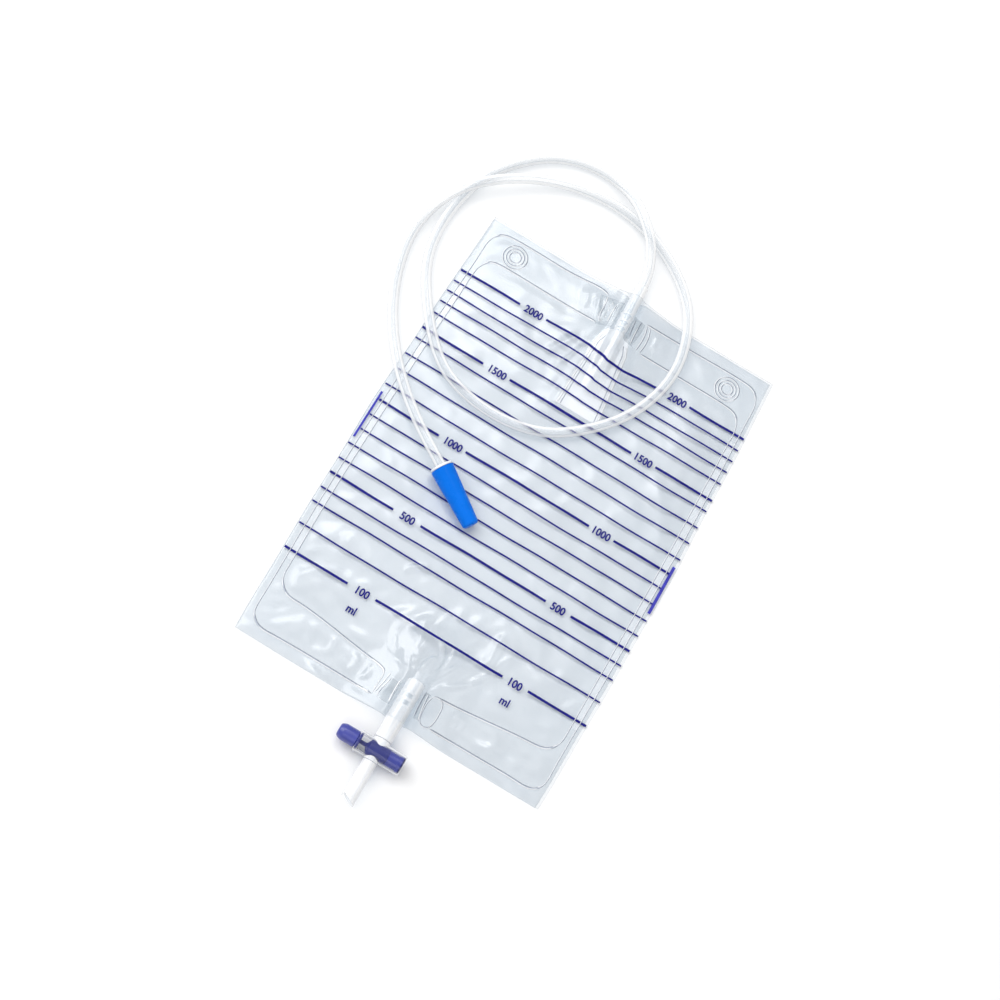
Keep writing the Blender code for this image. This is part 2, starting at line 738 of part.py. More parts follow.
def add_connector_cap(collection, material):
    """Tapered cap over the connector, closed and rounded at its far end."""
    start = CONNECTOR_FLANGE + GAP
    end = start + CAP_LENGTH
    round_end = 0.0016
    inner_mouth = CAP_MOUTH_RADIUS - CAP_WALL
    inner_end = CAP_END_RADIUS - CAP_WALL
    floor = CONNECTOR_LENGTH + 2 * GAP
    profile = [(0.0, end)]
    profile += arc(CAP_END_RADIUS - round_end, end - round_end, round_end, 90, 3, 4)
    profile += [(CAP_MOUTH_RADIUS, start + 0.0003), (CAP_MOUTH_RADIUS - 0.0003, start)]
    profile += [(inner_mouth, start), (inner_end, floor - 0.0004), (inner_end - 0.0004, floor)]
    profile += [(0.0, floor)]
    part = turned("connector_cap", profile, collection, material, closed=False)
    aim(part, connector_place(), connector_direction())
    return part


# Assembly


def footprint(parts):
    """Lowest and highest corner of some parts as the viewport shows them."""
    graph = bpy.context.evaluated_depsgraph_get()
    corners = []
    for part in parts:
        shown = part.evaluated_get(graph)
        mesh = shown.to_mesh()
        corners += [shown.matrix_world @ vert.co for vert in mesh.vertices]
        shown.to_mesh_clear()
    low = Vector([min(corner[i] for corner in corners) for i in range(3)])
    high = Vector([max(corner[i] for corner in corners) for i in range(3)])
    return low, high


def centre_on_base(objects, measured):
    """Moves everything so that the origin is under the middle of the measured parts."""
    bpy.context.view_layer.update()
    low, high = footprint(measured)
    shift = Vector(((low.x + high.x) / 2, (low.y + high.y) / 2, low.z))
    for item in objects:
        item.location -= shift
    bpy.context.view_layer.update()


def build():
    for item in list(bpy.data.objects):
        bpy.data.objects.remove(item, do_unlink=True)
    parts = make_collection(NAME)
    cutters = make_collection(NAME + "_cutters")
    film_colour = (0.78, 0.83, 0.88)
    materials = {
        "front_film": make_material("front_film", film_colour, 0.25, 0.55),
        "back_film": make_material("back_film", film_colour, 0.30, 0.55),
        "reflux_flap_front": make_material("reflux_flap_front", (0.85, 0.88, 0.92), 0.30, 0.55),
        "reflux_flap_back": make_material("reflux_flap_back", (0.85, 0.88, 0.92), 0.30, 0.55),
        "inlet_port": make_material("inlet_port", (0.88, 0.91, 0.93), 0.20, 0.60),
        "outlet_port": make_material("outlet_port", (0.88, 0.91, 0.93), 0.20, 0.60),
        "valve_body": make_material("valve_body", (0.86, 0.90, 0.95), 0.10, 0.45),
        "valve_spool": make_material("valve_spool", (0.045, 0.055, 0.30), 0.30),
        "drain_tip": make_material("drain_tip", (0.90, 0.93, 0.95), 0.15, 0.60),
        "inlet_tube": make_material("inlet_tube", (0.90, 0.93, 0.95), 0.15, 0.60),
        "patient_connector": make_material("patient_connector", (0.92, 0.93, 0.94), 0.35),
        "connector_cap": make_material("connector_cap", (0.0, 0.17, 0.78), 0.35),
    }
    add_films(parts, materials)
    add_flap("reflux_flap_front", 1, parts, materials["reflux_flap_front"])
    add_flap("reflux_flap_back", -1, parts, materials["reflux_flap_back"])
    add_inlet_port(parts, materials["inlet_port"])
    add_outlet_port(parts, materials["outlet_port"])
    add_valve_body(parts, cutters, materials["valve_body"])
    add_valve_spool(parts, cutters, materials["valve_spool"])
    add_drain_tip(parts, cutters, materials["drain_tip"])
    on_table = list(parts.objects)
    add_inlet_tube(parts, materials["inlet_tube"])
    add_patient_connector(parts, materials["patient_connector"])
    add_connector_cap(parts, materials["connector_cap"])
    centre_on_base(list(parts.objects) + list(cutters.objects), on_table)


if __name__ == "__main__":
    build()
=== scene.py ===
"""Dresses the urine drainage bag: films, welds, graduations, reflux valve, ports, drain valve,
inlet tube, connector and cap, on a pale floor.

Lengths are metres. Film work is laid out on the bag's own plane, x from its centre line and y from
its bottom edge, and moved to the frame's origin as each mesh is made.
"""

import math

import bmesh
import bpy
import numpy as np
from mathutils import Matrix, Vector


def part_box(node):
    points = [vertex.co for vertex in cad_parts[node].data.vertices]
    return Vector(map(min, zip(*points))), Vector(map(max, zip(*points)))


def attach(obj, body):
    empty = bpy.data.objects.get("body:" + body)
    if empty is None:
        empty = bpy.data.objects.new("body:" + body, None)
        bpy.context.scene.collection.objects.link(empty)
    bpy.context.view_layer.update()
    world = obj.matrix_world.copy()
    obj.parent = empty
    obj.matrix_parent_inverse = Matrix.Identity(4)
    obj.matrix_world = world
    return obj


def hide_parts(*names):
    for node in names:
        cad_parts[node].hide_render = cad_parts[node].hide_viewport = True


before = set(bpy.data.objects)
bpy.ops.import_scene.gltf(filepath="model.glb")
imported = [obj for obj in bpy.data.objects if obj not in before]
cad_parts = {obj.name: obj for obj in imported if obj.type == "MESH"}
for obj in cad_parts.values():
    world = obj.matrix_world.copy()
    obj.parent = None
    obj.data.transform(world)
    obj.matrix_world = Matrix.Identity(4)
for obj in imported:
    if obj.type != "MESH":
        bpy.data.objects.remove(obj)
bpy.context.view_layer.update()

bl_info = {
    "name": "Urine drainage bag",
    "version": (1, 0, 0),
    "blender": (4, 5, 0),
    "location": "3D View > Sidebar > Drainage bag",
    "description": "Builds the visible pieces of a 2 litre urine drainage bag over its CAD frame",
    "category": "Object",
}

BAG_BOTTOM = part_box("back_film")[0].y

# Bag outline and films, as in the CAD model
BAG_LENGTH = 0.320
BAG_WIDTH = 0.210
SIDE_BULGE = 0.033
FILM = 0.0004
GAP = 0.0003
SHOWN_FILM = 0.0003

INLET_X = 0.0003
INLET_LEAN = math.radians(2.9)
INLET_RADIUS = 0.0042
INLET_STANDOUT = 0.0085
INLET_INSIDE = 0.0385
INLET_BORE = 0.0024
INLET_RIB = 0.0004
INLET_RIBS_BELOW_TOP_EDGE = (0.0145, 0.0200, 0.0245)
TUBE_RADIUS = 0.0034
TUBE_SOCKET = 0.0090

FLAP_FILM = 0.00025
FLAP_TOP = 0.028
FLAP_LENGTH = 0.061
FLAP_NECK = 0.0079
FLAP_SHOULDER_DROP = 0.012
FLAP_SHOULDER = 0.0123
FLAP_HEM = 0.0158
FLAP_HEM_Y = BAG_LENGTH - FLAP_TOP - FLAP_LENGTH

OUTLET_X = 0.0044
OUTLET_RADIUS = 0.0058
OUTLET_BORE = 0.0043
OUTLET_RIB = 0.0002
OUTLET_RIBS = (0.0095, 0.0143, 0.0190)
OUTLET_INSIDE = 0.0275
OUTLET_OUTSIDE = 0.0134

BARREL_RADIUS = 0.0065
BARREL_WALL = 0.0010
BARREL_LEFT = 0.0130
BARREL_RIGHT = 0.0180
COLLAR_REACH = 0.0072
SPIGOT_LENGTH = 0.0085
SPIGOT_WALL = 0.0012
LOWER_SPIGOT_RADIUS = 0.00305
SPOOL_KNOB_LENGTH = 0.0124
SPOOL_STEM_RADIUS = 0.0013
SPOOL_LAND_OFFSET = 0.0013
SPOOL_LAND_HALF = 0.0062
SPOOL_SCALLOP_DEPTH = 0.0016
SPOOL_SCALLOP_HALF = 0.0043

TIP_RADIUS = 0.00475
TIP_LENGTH = 0.0280
TIP_SLANT = math.radians(28.7)

CONNECTOR_LENGTH = 0.036
CONNECTOR_FLANGE = 0.0015
CONNECTOR_FLANGE_RADIUS = 0.0072
CONNECTOR_ROOT_RADIUS = 0.0056
CONNECTOR_TIP_RADIUS = 0.0036
CONNECTOR_BORE = 0.0022
CONNECTOR_SOCKET = 0.0070
CONNECTOR_STEPS = 4
CAP_LENGTH = 0.0400
CAP_MOUTH_RADIUS = 0.0075
CAP_END_RADIUS = 0.0053
CAP_WALL = 0.0011
CAP_PULL = 0.038

BAG_HALF = BAG_WIDTH / 2
SIN_45 = math.sqrt(0.5)
FACET_ROOM = 1.0 / math.cos(math.radians(11.25))
FLAT_HALF = GAP / 2
POCKET_HALF = FLAT_HALF + FLAP_FILM + GAP
FLAP_HALF = GAP / 2
INLET_WRAP = (INLET_RADIUS + 2 * GAP + FLAP_FILM + 0.0001) * FACET_ROOM - POCKET_HALF + GAP / 2
FLAP_WRAP = (INLET_RADIUS + GAP) * FACET_ROOM - FLAP_HALF
OUTLET_WRAP = (OUTLET_RADIUS + OUTLET_RIB + GAP) * FACET_ROOM - FLAT_HALF
INLET_Z = FILM + POCKET_HALF + INLET_WRAP
OUTLET_Z = FILM + FLAT_HALF + OUTLET_WRAP
POCKET_ROOM = 0.001
POCKET_RAMP = 0.004
INLET_CLOSE = 0.044
OUTLET_CLOSE = 0.055
SIDE_SLOPE = 0.030
AXIS_FOLLOW = 0.040

# The tube's route, as in the CAD model: x, y and the height of the tube's underside
ON_TABLE = 0.0001
ON_FILM = 0.0019
OVER_TUBE = 2 * TUBE_RADIUS + 0.0007
CAP_REST_Z = 0.0016 + CAP_MOUTH_RADIUS
CAP_TAPER = math.atan2(CAP_MOUTH_RADIUS - CAP_END_RADIUS, CAP_LENGTH)
CONNECTOR_AT = (-0.0509, 0.1517)
CONNECTOR_HEADING = math.radians(-32.6)
TUBE_ROUTE = [
    (-0.0018, 0.3399, 0.0034), (-0.0083, 0.3542, 0.0068), (-0.0161, 0.3642, OVER_TUBE),
    (-0.0299, 0.3767, 0.0063), (-0.0449, 0.3846, 0.0022), (-0.0621, 0.3873, 0.0002),
    (-0.0885, 0.3801, ON_TABLE), (-0.1117, 0.3602, ON_TABLE), (-0.1264, 0.3345, ON_TABLE),
    (-0.1316, 0.3035, ON_TABLE), (-0.1288, 0.2751, 0.0002), (-0.1193, 0.2531, 0.0011),
    (-0.1031, 0.2304, ON_FILM), (-0.0830, 0.2112, ON_FILM), (-0.0581, 0.2018, ON_FILM),
    (-0.0302, 0.2011, ON_FILM), (-0.0063, 0.2080, 0.0020), (0.0135, 0.2221, 0.0028),
    (0.0304, 0.2420, 0.0026), (0.0414, 0.2655, ON_FILM), (0.0453, 0.2894, ON_FILM),
    (0.0419, 0.3117, 0.0022), (0.0311, 0.3349, 0.0007), (0.0102, 0.3542, ON_TABLE),
    (-0.0172, 0.3670, ON_TABLE), (-0.0459, 0.3709, ON_TABLE), (-0.0720, 0.3663, 0.0013),
    (-0.0945, 0.3555, 0.0050), (-0.1132, 0.3417, OVER_TUBE), (-0.1283, 0.3264, OVER_TUBE),
    (-0.1386, 0.3098, 0.0052), (-0.1437, 0.2934, 0.0015), (-0.1438, 0.2716, ON_TABLE),
    (-0.1348, 0.2400, ON_TABLE), (-0.1179, 0.2101, 0.0012), (-0.0939, 0.1834, 0.0025),
    (-0.0701, 0.1644, 0.0044),
]
TUBE_POINTS = 520

# Camera, in the frame's own axes, found from the photograph's perspective
CAMERA_AT = Vector((-0.0215, -0.2572 + BAG_BOTTOM, 1.1723))
CAMERA_RIGHT = Vector((0.8568, 0.4834, 0.1796))
CAMERA_UP = Vector((-0.5156, 0.8099, 0.2796))
CAMERA_LENS = 72.0
CAMERA_SENSOR = 36.0


# Settings a user would change


class DrainageBagSizes(bpy.types.PropertyGroup):
    tube_bore: bpy.props.FloatProperty(
        name="Tube bore", description="Inside diameter of the inlet tube",
        default=0.0050, min=0.003, max=0.006, subtype="DISTANCE", unit="LENGTH")
    tube_sides: bpy.props.IntProperty(
        name="Tube sides", description="Facets round the inlet tube", default=28, min=12, max=48)
    turned_steps: bpy.props.IntProperty(
        name="Round steps", description="Facets round each turned piece",
        default=72, min=24, max=128)
    film_step: bpy.props.FloatProperty(
        name="Film grid", description="Grid spacing of the slack film away from the ports",
        default=0.0018, min=0.001, max=0.005, subtype="DISTANCE", unit="LENGTH")
    crease_height: bpy.props.FloatProperty(
        name="Crease height", description="How proud the film's gathers stand, as a share",
        default=1.0, min=0.0, max=2.0, subtype="FACTOR")
    seam_width: bpy.props.FloatProperty(
        name="Seam width", description="Width of each welded seam line",
        default=0.0016, min=0.0005, max=0.003, subtype="DISTANCE", unit="LENGTH")
    seam_height: bpy.props.FloatProperty(
        name="Seam height", description="How far a seam line stands above the film",
        default=0.00035, min=0.0001, max=0.001, subtype="DISTANCE", unit="LENGTH")
    bold_line: bpy.props.FloatProperty(
        name="Bold line", description="Width of a numbered graduation line",
        default=0.0016, min=0.0005, max=0.003, subtype="DISTANCE", unit="LENGTH")
    thin_line: bpy.props.FloatProperty(
        name="Thin line", description="Width of a plain graduation line",
        default=0.0011, min=0.0003, max=0.002, subtype="DISTANCE", unit="LENGTH")
    digit_height: bpy.props.FloatProperty(
        name="Digit height", description="Height of the printed numbers",
        default=0.0052, min=0.003, max=0.01, subtype="DISTANCE", unit="LENGTH")


class DrainageBagColours(bpy.types.PropertyGroup):
    film: bpy.props.FloatVectorProperty(
        name="Film", description="Colour of the clear film's haze", subtype="COLOR",
        default=(0.14, 0.27, 0.39), min=0.0, max=1.0)
    seam: bpy.props.FloatVectorProperty(
        name="Seam", description="Tint of the welded seam lines", subtype="COLOR",
        default=(0.46, 0.51, 0.62), min=0.0, max=1.0)
    flap: bpy.props.FloatVectorProperty(
        name="Flap", description="Colour of the milky reflux valve film", subtype="COLOR",
        default=(0.97, 0.98, 1.0), min=0.0, max=1.0)
    ink: bpy.props.FloatVectorProperty(
        name="Ink", description="Colour of the printed graduations", subtype="COLOR",
        default=(0.008, 0.008, 0.155), min=0.0, max=1.0)
    spool: bpy.props.FloatVectorProperty(
        name="Spool", description="Colour of the drain valve's spool", subtype="COLOR",
        default=(0.045, 0.055, 0.30), min=0.0, max=1.0)
    cap: bpy.props.FloatVectorProperty(
        name="Cap", description="Colour of the connector cap", subtype="COLOR",
        default=(0.0, 0.155, 0.72), min=0.0, max=1.0)
    connector: bpy.props.FloatVectorProperty(
        name="Connector", description="Colour of the tapered connector", subtype="COLOR",
        default=(0.90, 0.91, 0.93), min=0.0, max=1.0)


# The films' shape


def smooth(t):
    t = np.clip(t, 0.0, 1.0)
    return t * t * (3.0 - 2.0 * t)


def ramp(t):
    return np.clip(t, 0.0, 1.0)


def mix(a, b, t):
    return a + (b - a) * t


def inlet_axis_x(y):
    return INLET_X - math.tan(INLET_LEAN) * (y - BAG_LENGTH)


def port_share(y):
    """0 near the outlet, 1 near the inlet: which port the films' middle lines follow."""
    start = OUTLET_INSIDE + OUTLET_CLOSE
    end = FLAP_HEM_Y - POCKET_ROOM - POCKET_RAMP
    return smooth((y - start) / (end - start))


def axis_x(y):
    return mix(OUTLET_X, inlet_axis_x(y), port_share(y))


def wrap_radius(y):
    return mix(OUTLET_WRAP, INLET_WRAP, port_share(y))


def tent(u, wrap):
    """Half the room between two films drawn round a tube and meeting beside it."""
    u = np.abs(u)
    over = np.sqrt(np.maximum(wrap**2 - u**2, 0.0))
    return np.where(u < wrap * SIN_45, over, np.maximum(wrap / SIN_45 - u, 0.0))


def flap_half_width(y):
    below_top = BAG_LENGTH - FLAP_TOP - y
    neck = mix(FLAP_NECK, FLAP_SHOULDER, ramp(below_top / FLAP_SHOULDER_DROP))
    flare = ramp((below_top - FLAP_SHOULDER_DROP) / (FLAP_LENGTH - FLAP_SHOULDER_DROP))
    return np.where(below_top < FLAP_SHOULDER_DROP, neck, mix(FLAP_SHOULDER, FLAP_HEM, flare))


def pocket(u, y):
    """1 where the reflux valve lies between the films, falling to 0 just outside it."""
    beside = 1.0 - ramp((np.abs(u) - flap_half_width(y) - POCKET_ROOM) / POCKET_RAMP)
    below = 1.0 - ramp((FLAP_HEM_Y - POCKET_ROOM - y) / POCKET_RAMP)
    return beside * below


def inlet_hold(y):
    end = BAG_LENGTH - INLET_INSIDE - 0.0015
    return smooth((y - end + INLET_CLOSE) / INLET_CLOSE)


def outlet_hold(y):
    return smooth((OUTLET_INSIDE + 0.001 + OUTLET_CLOSE - y) / OUTLET_CLOSE)


def port_hold(y):
    return np.maximum(inlet_hold(y), outlet_hold(y))


def room_half(u, y):
    return mix(FLAT_HALF, POCKET_HALF, pocket(u, y)) + port_hold(y) * tent(u, wrap_radius(y))


def middle_z(u, y):
    """Height of the middle plane between the films, which rises to each port's axis."""
    wrap = wrap_radius(y)
    beside = 1.0 - smooth((np.abs(u) - wrap / SIN_45) / SIDE_SLOPE)
    flat = mix(FLAT_HALF, POCKET_HALF, pocket(u, y))
    return FILM + flat + port_hold(y) * wrap * beside


def side_bulge(y):
    return SIDE_BULGE * (1 - (2 * y / BAG_LENGTH - 1) ** 2)


def straightened(x, y):
    """Place across the film with the bulge of its sides taken out."""
    share = np.maximum(side_bulge(y), 1e-6) / BAG_HALF
    return np.sign(x) * (np.sqrt(1 + 4 * share * np.abs(x)) - 1) / (2 * share)


def from_axis(x, y):
    """How far a point of the film is from the line that runs from port to port."""
    flat = straightened(x, y)
    u = flat
    for _ in range(6):
        u = flat - axis_x(y) * ramp((BAG_HALF - np.abs(u)) / (BAG_HALF - AXIS_FOLLOW))
    return u


def distance_to(x, y, line):
    """Distance from points to a line of (x, y) points, and how far along it the nearest is."""
    line = np.asarray(line, float)[:, :2]
    steps = np.linalg.norm(np.diff(line, axis=0), axis=1)
    run = np.concatenate([[0.0], np.cumsum(steps)])
    best = np.full(np.shape(x), 1e9)
    along = np.zeros(np.shape(x))
    for i in range(len(line) - 1):
        a, d = line[i], line[i + 1] - line[i]
        t = np.clip(((x - a[0]) * d[0] + (y - a[1]) * d[1]) / max(d @ d, 1e-12), 0, 1)
        gap = np.hypot(x - a[0] - t * d[0], y - a[1] - t * d[1])
        closer = gap < best
        best = np.where(closer, gap, best)
        along = np.where(closer, run[i] + t * steps[i], along)
    return best, along / run[-1]


def curve_through(points, count):
    """Evenly spaced points on the smooth curve through the given ones."""
    points = np.array(points, float)
    chords = np.sqrt(np.linalg.norm(np.diff(points, axis=0), axis=1))
    knots = np.concatenate([[0.0], np.cumsum(chords)])
    size = len(points)
    steps = np.diff(knots)
    matrix = np.eye(size)
    right = np.zeros((size, points.shape[1]))
    for i in range(1, size - 1):
        matrix[i, i - 1 : i + 2] = steps[i - 1], 2 * (steps[i - 1] + steps[i]), steps[i]
        ahead = (points[i + 1] - points[i]) / steps[i]
        right[i] = 6 * (ahead - (points[i] - points[i - 1]) / steps[i - 1])
    bends = np.linalg.solve(matrix, right)
    at = np.linspace(0.0, knots[-1], 40 * size)
    k = np.clip(np.searchsorted(knots, at, side="right") - 1, 0, size - 2)
    step = steps[k][:, None]
    a = (knots[k + 1] - at)[:, None] / step
    b = 1.0 - a
    curve = a * points[k] + b * points[k + 1]
    curve += ((a**3 - a) * bends[k] + (b**3 - b) * bends[k + 1]) * step**2 / 6
    run = np.concatenate([[0.0], np.cumsum(np.linalg.norm(np.diff(curve, axis=0), axis=1))])
    even = np.linspace(0.0, run[-1], count)
    return np.column_stack([np.interp(even, run, curve[:, i]) for i in range(points.shape[1])])


# Gathers of the front film: points along the fold in millimetres, half width, height

CREASES = [
    # round the outlet
    ([(9.5, 47), (5.6, 44), (3.2, 38), (1.6, 31)], 1.3, 0.95),
    ([(-6, 42), (-4.4, 37), (-2.2, 31)], 1.3, 0.85),
    ([(-14, 42), (-11.5, 35), (-7.5, 28)], 1.1, 0.70),
    ([(0, 60), (7, 54), (11, 46), (9, 35)], 1.5, 0.75),
    ([(12, 62), (15, 51), (12.6, 40)], 1.3, 0.55),
    ([(22, 52), (17, 43), (9.8, 31)], 1.6, 0.90),
    ([(19, 33.5), (16.5, 29.5), (13.5, 25.5)], 0.9, 0.75),
    ([(41, 58), (34.5, 46.5), (24, 36.5), (17.5, 30.5)], 2, 0.60),
    ([(35, 84), (35.8, 66), (37.5, 54)], 2.4, 0.85),
    ([(51, 76), (44, 67), (39.5, 56), (30, 42)], 1.9, 0.55),
    ([(-24, 52), (-18, 40), (-10, 30)], 1.7, 0.40),
    ([(-36, 82), (-35.2, 86.5), (-31.5, 90), (-26, 92), (-22, 90)], 1.2, 0.95),
    ([(-12, 70), (-8, 56), (-5, 46)], 2.6, 0.35),
    # round the inlet
    ([(-13, 275), (-17, 264), (-22, 253)], 1.1, 0.55),
    ([(-17, 281), (-26, 268), (-33, 254)], 2.4, 0.45),
    ([(17, 280), (20, 266), (21, 250)], 2, 0.35),
    ([(-21, 311), (-18.5, 302), (-14, 294.5)], 1.6, 0.70),
    ([(-30, 311), (-27, 302), (-25, 296)], 2.2, 0.50),
    ([(24, 309), (25.5, 300), (24.5, 292)], 1.6, 0.45),
    ([(33, 309), (32, 300), (33, 292.5)], 2.2, 0.35),
    # along the bottom margin
    ([(-37, 28), (-33, 19), (-36, 10.5)], 1.8, 0.55),
    ([(-27, 27), (-24, 19), (-26.5, 10.5)], 2, 0.55),
    ([(-52, 30), (-50, 20), (-53, 11)], 2.6, 0.35),
    ([(36, 28), (38.5, 20), (36.5, 11)], 2.2, 0.35),
    ([(60, 30), (62, 20), (59, 11)], 3, 0.30),
    # long soft folds of the slack film
    ([(-92, 150), (-70, 132), (-48, 128)], 5, 0.35),
    ([(64, 226), (82, 204), (92, 176)], 4.5, 0.60),
    ([(52, 130), (70, 116), (90, 112)], 5, 0.35),
    ([(-88, 90), (-66, 76), (-46, 74)], 4.5, 0.35),
]

# Broad swells of the front film: centre, spread across and along, height, in millimetres
SWELLS = [
    (-52, 258, 26, 24, 0.7),
    (-14, 222, 12, 9, 0.3),
    (76, 250, 15, 26, 1.1),
    (70, 186, 22, 26, 1),
    (-68, 168, 20, 18, 0.8),
    (20, 160, 26, 20, 0.7),
    (-40, 110, 30, 18, 0.9),
    (46, 86, 18, 14, 0.9),
    (72, 62, 18, 18, 0.8),
    (-76, 58, 16, 16, 0.8),
    (12, 112, 22, 14, 0.6),
]

OUTER_SEAM = [
    (-16, 314.6), (-22, 316), (-40, 314.6), (-60, 314.2), (-86, 314), (-96, 311.4),
    (-100.4, 304), (-101, 294), (-102.4, 240), (-103.4, 160), (-102.8, 80), (-101.4, 26),
    (-100, 14), (-94, 9), (-84, 8.4), (-60, 8.8), (-15.4, 8.6),
]
OUTER_SEAM_RIGHT = [
    (15, 310.6), (38, 310.6), (60, 311), (86, 311.2), (97, 308.8), (101.4, 301),
    (102, 291), (103.2, 240), (103.8, 160), (103, 80), (102, 26), (100.8, 14),
    (95, 9), (84, 8.4), (60, 8.4), (25, 8.2),
]
INNER_SEAM = [
    (-14.5, 293.8), (-17.5, 293.6), (-40, 293), (-84, 293), (-93, 290.6), (-97.2, 283),
    (-98, 272), (-99, 220), (-99.4, 160), (-99, 90), (-97.8, 52), (-96.4, 41),
    (-90, 34.6), (-80, 33.4), (-60, 31.6), (-30, 27.6), (-18.4, 26), (-15.6, 24),
    (-15.2, 18), (-15.4, 9.4),
]
INNER_SEAM_RIGHT = [
    (20.4, 290.2), (38, 290.2), (60, 290.2), (85, 290), (94, 287.4), (97.8, 280),
    (98.4, 270), (99, 220), (99.4, 160), (99, 90), (98.6, 52), (97.2, 41),
    (91, 34.8), (80, 33), (60, 31), (36, 28.4), (20, 27.2),
]
SEAMS = [OUTER_SEAM, OUTER_SEAM_RIGHT, INNER_SEAM, INNER_SEAM_RIGHT]

EYELETS = [(-80.5, 303), (80.5, 300.6)]
EYELET_RADII = (8.1, 5.9, 3.8)

# Short welds that close the films against the ports
PORT_WELDS = [
    [(-8.3, 312), (-8.5, 305), (-8.3, 298)],
    [(-16.2, 313.4), (-15.2, 308.6), (-14.8, 302), (-14.2, 298), (-12.8, 296), (-11.6, 297.6)],
    [(-11.4, 311.8), (-11.2, 311), (-11.3, 310.2)],
    [(-12.2, 309), (-12.3, 308.2), (-12, 307.4)],
    [(-11.3, 306.4), (-11.1, 305.6), (-11.3, 304.8)],
    [(-12.1, 303.8), (-12.2, 303), (-12, 302.2)],
    [(-11.1, 301.2), (-10.9, 300.4), (-11.1, 299.6)],
    [(7.3, 309.4), (7.9, 303), (8.8, 296.4)],
    [(11.3, 310.4), (11.2, 302), (11.9, 292.6)],
    [(15.6, 309.8), (17.2, 303), (17.4, 297), (16.9, 290.8)],
    [(18, 309.8), (20, 303), (20.4, 296), (19.6, 290.2)],
    [(-11.8, 26), (-12.6, 20), (-14.6, 10)],
    [(-10, 22.6), (-11.6, 16), (-12.4, 9.6)],
    [(-4.4, 25.4), (-4.7, 18), (-4, 9.8)],
    [(12.4, 25.8), (12.7, 18), (13.4, 10)],
    [(14.4, 26.4), (15.2, 18), (17, 8.8)],
]
OUTLET_RING = [
    (16.6, 13), (16.3, 22), (18.4, 26.8), (21.4, 27.4), (24.4, 25.6), (25.8, 20), (25.6, 13),
    (24, 8.6), (21, 7.6), (18.2, 8.8),
]

# Film pressed darker beside the ports: middle of each plate, and its width there
PLATES = [
    ([(-12.5, 314), (-11.3, 304), (-9.2, 294.4)], [16.2, 13.6, 10.4]),
    ([(10, 310.4), (9.9, 301), (9.5, 292.2)], [9.2, 8.6, 7.6]),
    ([(-6.4, 23.4), (-7, 16), (-7.6, 8.6)], [6.6, 7.4, 8.6]),
    ([(14.1, 26.6), (14.4, 17), (15.4, 9.2)], [3.4, 3.6, 4]),
]

# Graduations: height of each line in millimetres, and the bold ones' numbers
GRADUATIONS = [
    (276.5, "2000"), (267.7, ""), (259, ""), (250.7, ""), (241.2, ""),
    (228.3, "1500"), (220.1, ""), (207.5, ""), (195.6, ""), (182.9, ""),
    (171.3, "1000"), (160.2, ""), (148.9, ""), (137.1, ""), (125.6, ""),
    (114.5, "500"), (103.5, ""), (93.2, ""), (76.7, ""), (59.4, "100"),
]
LINE_MARGIN = 0.7
BAR_MARGIN = 2.8
BAR_INK = (0.045, 0.045, 0.34)
NUMBER_GAPS = ((-62, -42.5), (47.4, 65.2))
NUMBER_MIDDLES = (-51.7, 56.2)
UNIT_Y = 46.8
DIGIT_SHARE = 0.73
DIGIT_WIDTH = 0.92
DIGIT_BOLDNESS = 0.00019

# How high above the film the underside and the top of each thin layer lie
PRINT_LAYER = (0.00004, 0.00010)
BAND_LAYER = (0.00003, 0.00006)
PLATE_LAYER = (0.00003, 0.00007)
DIGIT_MIDDLE = 0.00008
DIGIT_HALF = 0.00003
SIDE_BARS = ((-106.6, 1.4), (106.5, 2))
SIDE_BAR_ENDS = (142, 177)

# How the printed lines ride over the reflux valve: place across, and rise of the top line
LINE_DRAW_X = (-107, -60, -42, -20, -10, -5, 1, 4, 17, 27, 40, 60, 107)
LINE_DRAW_RISE = (-0.2, 0.2, 0.4, 1.5, 1.2, 0.3, -0.4, -1.8, -2.9, -1.8, -0.9, -0.3, -0.2)
LINE_DRAW_FADE = (276.5, 228.3)

# How proud the gathers stand against their figures, and the crinkles' mean height in metres
CREASE_BOOST = 2.2
CRINKLE_HEIGHT = 0.00013

# Folds that fan out from each port's mouth: middle in millimetres, way they run, reach, height
GATHERS = [(4.4, 26, 1, 26, 0.95), (1.6, 284, -1, 26, 0.28)]


def crease_height(x, y):
    total = np.zeros(np.shape(x))
    for points, half_width, height in CREASES:
        line = curve_through(np.array(points) / 1000, 14)
        gap, along = distance_to(x, y, line)
        ends = smooth(along / 0.3) * smooth((1 - along) / 0.25)
        total = total + height / 1000 * ends * np.exp(-((gap / (half_width / 1000)) ** 2))
    return total


def gather_height(x, y):
    total = np.zeros(np.shape(x))
    for cx, cy, way, reach, height in GATHERS:
        across, ahead = x * 1000 - cx, (y * 1000 - cy) * way
        away, angle = np.hypot(across, ahead), np.arctan2(ahead, across)
        fan = np.sin(7.0 * angle + 1.1 * np.sin(3.1 * angle + 0.10 * away) + 0.02 * away)
        ridge = np.exp(-((fan / 0.42) ** 2))
        fade = smooth((away - 6.0) / 6.0) * np.exp(-((away / reach) ** 2)) * smooth(ahead / 8.0)
        total = total + height / 1000 * ridge * fade
    return total


def swell_height(x, y):
    total = np.zeros(np.shape(x))
    for cx, cy, spread_x, spread_y, height in SWELLS:
        away = ((x * 1000 - cx) / spread_x) ** 2 + ((y * 1000 - cy) / spread_y) ** 2
        total = total + height / 1000 * np.exp(-away)
    return total


